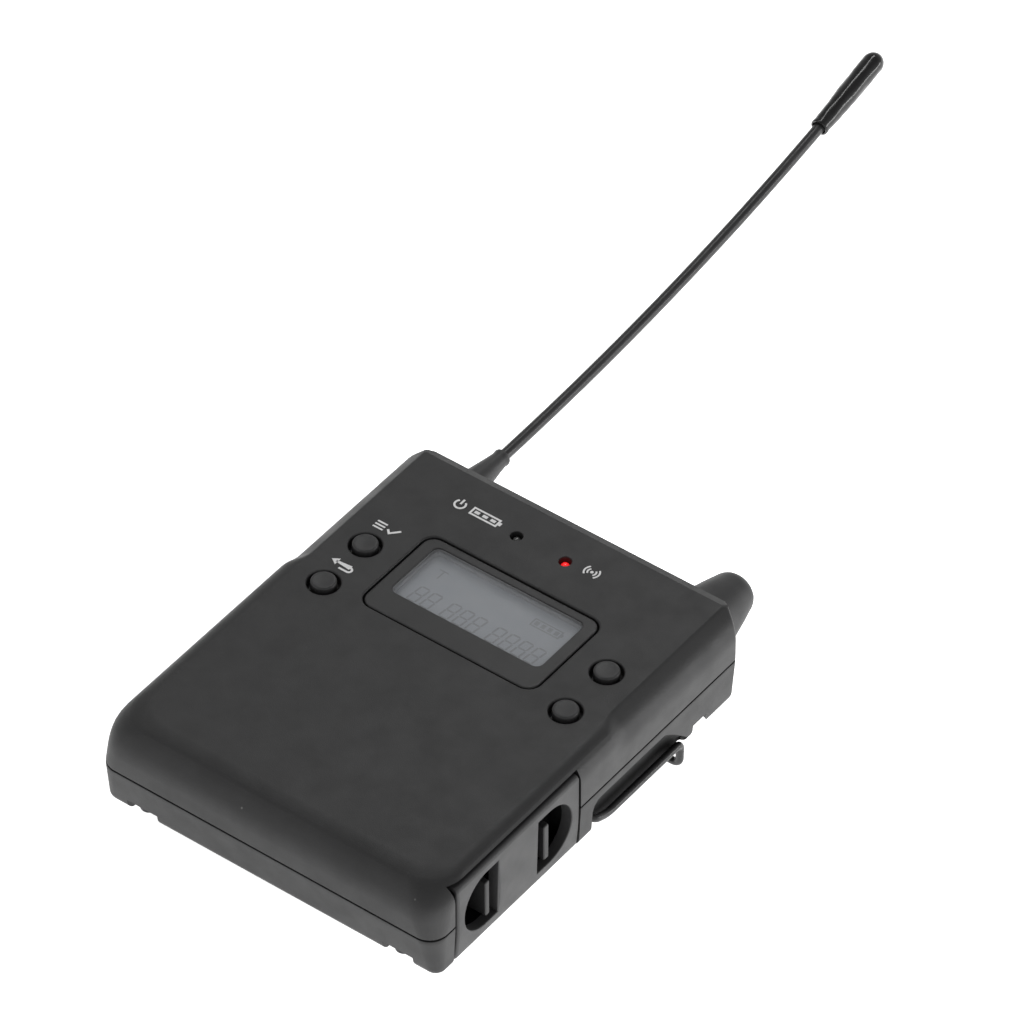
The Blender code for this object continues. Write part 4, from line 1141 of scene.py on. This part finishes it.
def drawer():
    low_y, high_y = DRAWER_LOW.y, DRAWER_HIGH.y
    rim = 0.35
    lower = [(0.0, rim), (rim * 0.12, rim * 0.52), (rim * 0.4, rim * 0.2), (rim, 0.0)]
    levels = [(low_y + step * 1.7, inset * 1.7) for step, inset in lower]
    levels += [(high_y - step * 0.5, inset * 0.5) for step, inset in lower[::-1]]
    door = loft("drawer_moulding", [[(x, y, z) for x, z in door_outline(inset)] for y, inset in levels])
    for side in (-1, 1):
        a, b = along_drawer(side, RECESS_STRAIGHT - RECESS_SIDE_ROOM, RECESS_STRAIGHT + RECESS_WIDTH)
        low, high = RECESS_Z
        cut(door, box("space_behind", (RECESS_FLOOR, a, low - 0.4), (RECESS_PLATE, b, high + 0.7)))
        cut(door, finger_hole(side))
    inner = DRAWER_LOW.x
    join(door, box("tray", (inner, low_y + 0.05, 1.75), (27.5, high_y - 0.05, 10.0), 0.15, 2))
    cut(door, box("tray_inside", (inner + 0.8, low_y + 0.9, 2.4), (26.5, high_y - 0.9, 12)))
    cut(door, box("end_gap", (inner - 1, low_y + 2.5, 4.4), (inner + 2, high_y - 2.5, 12)))
    for side in (-1, 1):
        edge = high_y + 1 if side > 0 else low_y - 1
        a, b = sorted((DRAWER_MIDDLE + side * 1.4, edge))
        cut(door, box("latch_pocket", (26.0, a, 5.7), (28.3, b, 11.2)))
        a, b = along_drawer(side, RECESS_STRAIGHT - 0.1, LATCH_TAB + 0.8)
        cut(door, box("stem_slot", (27, a, 5.7), (30, b, 11.2)))
    finish(door, "drawer", CASE_DOOR, "case_plastic", "battery_drawer")
    # Painted shade: the faces of the space behind the finger holes get the near-black plastic.
    door.data.materials.append(PAINTED_SHADE_RECESS)
    for polygon in door.data.polygons:
        x, y, z = polygon.center / MM
        if RECESS_FLOOR - 0.1 < x < RECESS_PLATE + 0.05 and 2.5 < z < 15.6:
            polygon.material_index = 1
    return door


def latch(node, side):
    tab_y = DRAWER_MIDDLE + side * LATCH_TAB
    low, high = (tab_y - 0.6, tab_y + 0.5) if side < 0 else (tab_y - 0.1, tab_y + 1.2)
    ridge = box(node + "_ridge", (RECESS_FLOOR + 0.3, low, 4.1), (33.3, high, 11.6), 0.3)
    a, b = along_drawer(side, 5.6, 15.5)
    join(ridge, box("stem", (27.5, tab_y - 0.5, 6.0), (RECESS_FLOOR + 1, tab_y + 0.5, 10.9)))
    join(ridge, box("slider", (26.9, a, 6.0), (28.0, b, 10.9), 0.1, 2))
    return finish(ridge, node + "_body", CASE, "case_plastic", node)


def cell(node, toward):
    """A cell in a printed film: steel ends, an insulating ring and a button at one end."""
    low, high = span(node)
    middle = centre(node)
    foot = low.x if toward > 0 else high.x
    r, end = (high.z - low.z) / 2, high.x - low.x
    start = (foot, middle.y, middle.z)
    ahead = (toward, 0, 0)
    can = [(0, 0.25), (r - 1.2, 0.25), (r - 0.9, 0.0), (r - 0.4, 0.0), (r - 0.12, 0.2), (r - 0.12, end - 1.9)]
    can += [(r - 0.5, end - 1.5), (6.2, end - 1.35), (6.0, end - 1.5), (0, end - 1.5)]
    finish(turned(node + "_can", can, start, ahead), "drawer", TIN, "nickel", node)
    film = [(r - 0.11, 0.6), (r, 0.62), (r, end - 2.2), (r - 0.25, end - 1.85), (r - 0.35, end - 1.95)]
    film += [(r - 0.11, end - 2.2)]
    finish(turned(node + "_film", film, start, ahead), "drawer", WRAP, "cell_wrap")
    stud = [(0, end), (2.3, end), (2.6, end - 0.15), (2.7, end - 0.4), (2.7, end - 1.45), (0, end - 1.45)]
    finish(turned(node + "_button", stud, start, ahead, 40), "drawer", NICKEL, "nickel")


# ---- clip and screws

def smooth_path(points, radius, steps=10):
    points = [Vector(p) for p in points]
    path = [points[0]]
    for before, corner, after in zip(points, points[1:], points[2:]):
        back, ahead = before - corner, after - corner
        reach = min(radius, back.length * 0.49, ahead.length * 0.49)
        first, last = corner + back.normalized() * reach, corner + ahead.normalized() * reach
        for i in range(steps + 1):
            t = i / steps
            path.append(first * (1 - t) ** 2 + corner * 2 * t * (1 - t) + last * t * t)
    return path + [points[-1]]


def clip():
    pivot_y, pivot_z = CLIP_PIVOT
    half = [
        (28.7, pivot_y, pivot_z), (CLIP_X, pivot_y, pivot_z), (CLIP_X, pivot_y + 3.4, CLIP_LEG_Z),
        (CLIP_X, CLIP_REACH, CLIP_LEG_Z), (CLIP_X, CLIP_REACH - 0.2, CLIP_BAR_Z),
    ]
    path = smooth_path(half + [(-x, y, z) for x, y, z in reversed(half)], 1.4)
    points, radii = rounded_ends(path, CLIP_RADIUS)
    return finish(tube("clip_wire", points, radii), "belt_clip", WIRE, "black_wire", "belt_clip_wire")


def case_screw(node):
    """A pan head with a soft edge and a cross recess, and its shaft."""
    low, high = span(node)
    x, y = centre(node).xy
    head = low.z
    seat = head + 0.95
    profile = [(0, high.z), (0.95, high.z - 0.4), (0.95, seat), (1.6, seat), (1.6, head + 0.4)]
    profile += [(1.53, head + 0.18), (1.35, head + 0.04), (1.1, head), (0, head)]
    screw = turned(node + "_head", profile, (x, y, 0), steps=48)
    for along, across in ((0.9, 0.22), (0.22, 0.9)):
        cut(screw, box("cross", (x - along, y - across, head - 1), (x + along, y + across, head + 0.55)))
    return finish(screw, "case", SCREW, "black_screw", node)


# ---- pieces inside keep their solids

def dress_inside():
    looks = {
        "main_board": BOARD, "contact_board": BOARD, "rf_shield": TIN, "volume_pot": TIN, "pot_nut": NICKEL,
        "pot_shaft": NICKEL, "antenna_ferrule": BRASS, "cell_link_strip": NICKEL, "latch_retainer": INNER,
        "lcd_backlight": DIFFUSER,
    }
    for node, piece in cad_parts.items():
        look = looks.get(node)
        if node.startswith(("board_screw", "latch_spring", "contact_leaf")):
            look = NICKEL
        if node.startswith("switch_"):
            look = TIN
        if look:
            piece.data.materials.clear()
            piece.data.materials.append(look)


# ---- stage, light and camera

def stage():
    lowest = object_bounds()[0][2]
    shape = bmesh.new()
    bmesh.ops.create_grid(shape, x_segments=1, y_segments=1, size=3.0)
    bmesh.ops.translate(shape, vec=(0, 0, lowest - 0.0004), verts=shape.verts)
    floor = piece_from("floor", shape)
    look = Look("pale_floor")
    parts = look.split()
    across = look.add("Math", {0: parts["X"], 1: parts["Y"]}, operation="ADD").outputs["Value"]
    look.surface(look.mix(look.noise(3, 2), (0.90, 0.90, 0.90), (0.94, 0.94, 0.94)), 0.9, {
        "Specular IOR Level": 0.1, "Emission Color": (1, 1, 1, 1),
        "Emission Strength": look.ramp(across, *FLOOR_GLOW, -0.040, 0.010),
    })
    floor.data.materials.append(look.made)
    floor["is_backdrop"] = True


def softbox(name, toward, distance, size, power):
    """An area light in the direction toward, facing the pack; its first size runs along the antenna."""
    toward = Vector(toward).normalized()
    along = (Vector((0, 1, 0)) - toward * toward.y).normalized()
    data = bpy.data.lights.new(name, "AREA")
    data.shape = "RECTANGLE"
    data.size, data.size_y = size
    data.energy = power
    lamp_object = add_object(name, data)
    lamp_object.location = toward * distance
    lamp_object.rotation_euler = Matrix((along, toward.cross(along), toward)).transposed().to_euler()


def light():
    """An even pale surround that dims overhead, broad softboxes, and two strips for the antenna's gleam."""
    world = bpy.data.worlds.new("studio")
    look = Look("studio", world)
    dimming = look.ramp(look.split("Generated")["Z"], *SURROUND, 0.05, 0.8)
    look.feed(look.shader, {"Strength": dimming, "Color": (1.0, 1.0, 1.0, 1)})
    bpy.context.scene.world = world
    for lamp_values in SOFTBOXES:
        softbox(*lamp_values)


def camera():
    data = bpy.data.cameras.new("camera")
    data.sensor_width = 36
    data.lens = 280.366
    eye = add_object("camera", data)
    eye.location = (0.56242, -0.71617, 0.91571)
    eye.rotation_euler = [radians(angle) for angle in (46.5212, 0.1259, 37.1225)]
    bpy.context.scene.camera = eye


# ---- everything together

for build in (camera, front_shell, rear_shell, bezel, window_liner, window_lens, lcd_glass):
    build()
lcd_signs()
labels()
for name in BUTTONS:
    button(name)
lamp("power_led", CLEAR, "clear_led")
lamp("rf_led", RED, "red_led")
for build in (knob, jack, knurled_nut, antenna, drawer):
    build()
latch("latch_lower", -1)
latch("latch_upper", 1)
cell("battery_cell_lower", -1)
cell("battery_cell_upper", 1)
clip()
for name in END_SCREWS + SIDE_SCREWS:
    case_screw(name)
dress_inside()
stage()
light()
bpy.context.scene.view_settings.view_transform = "Standard"
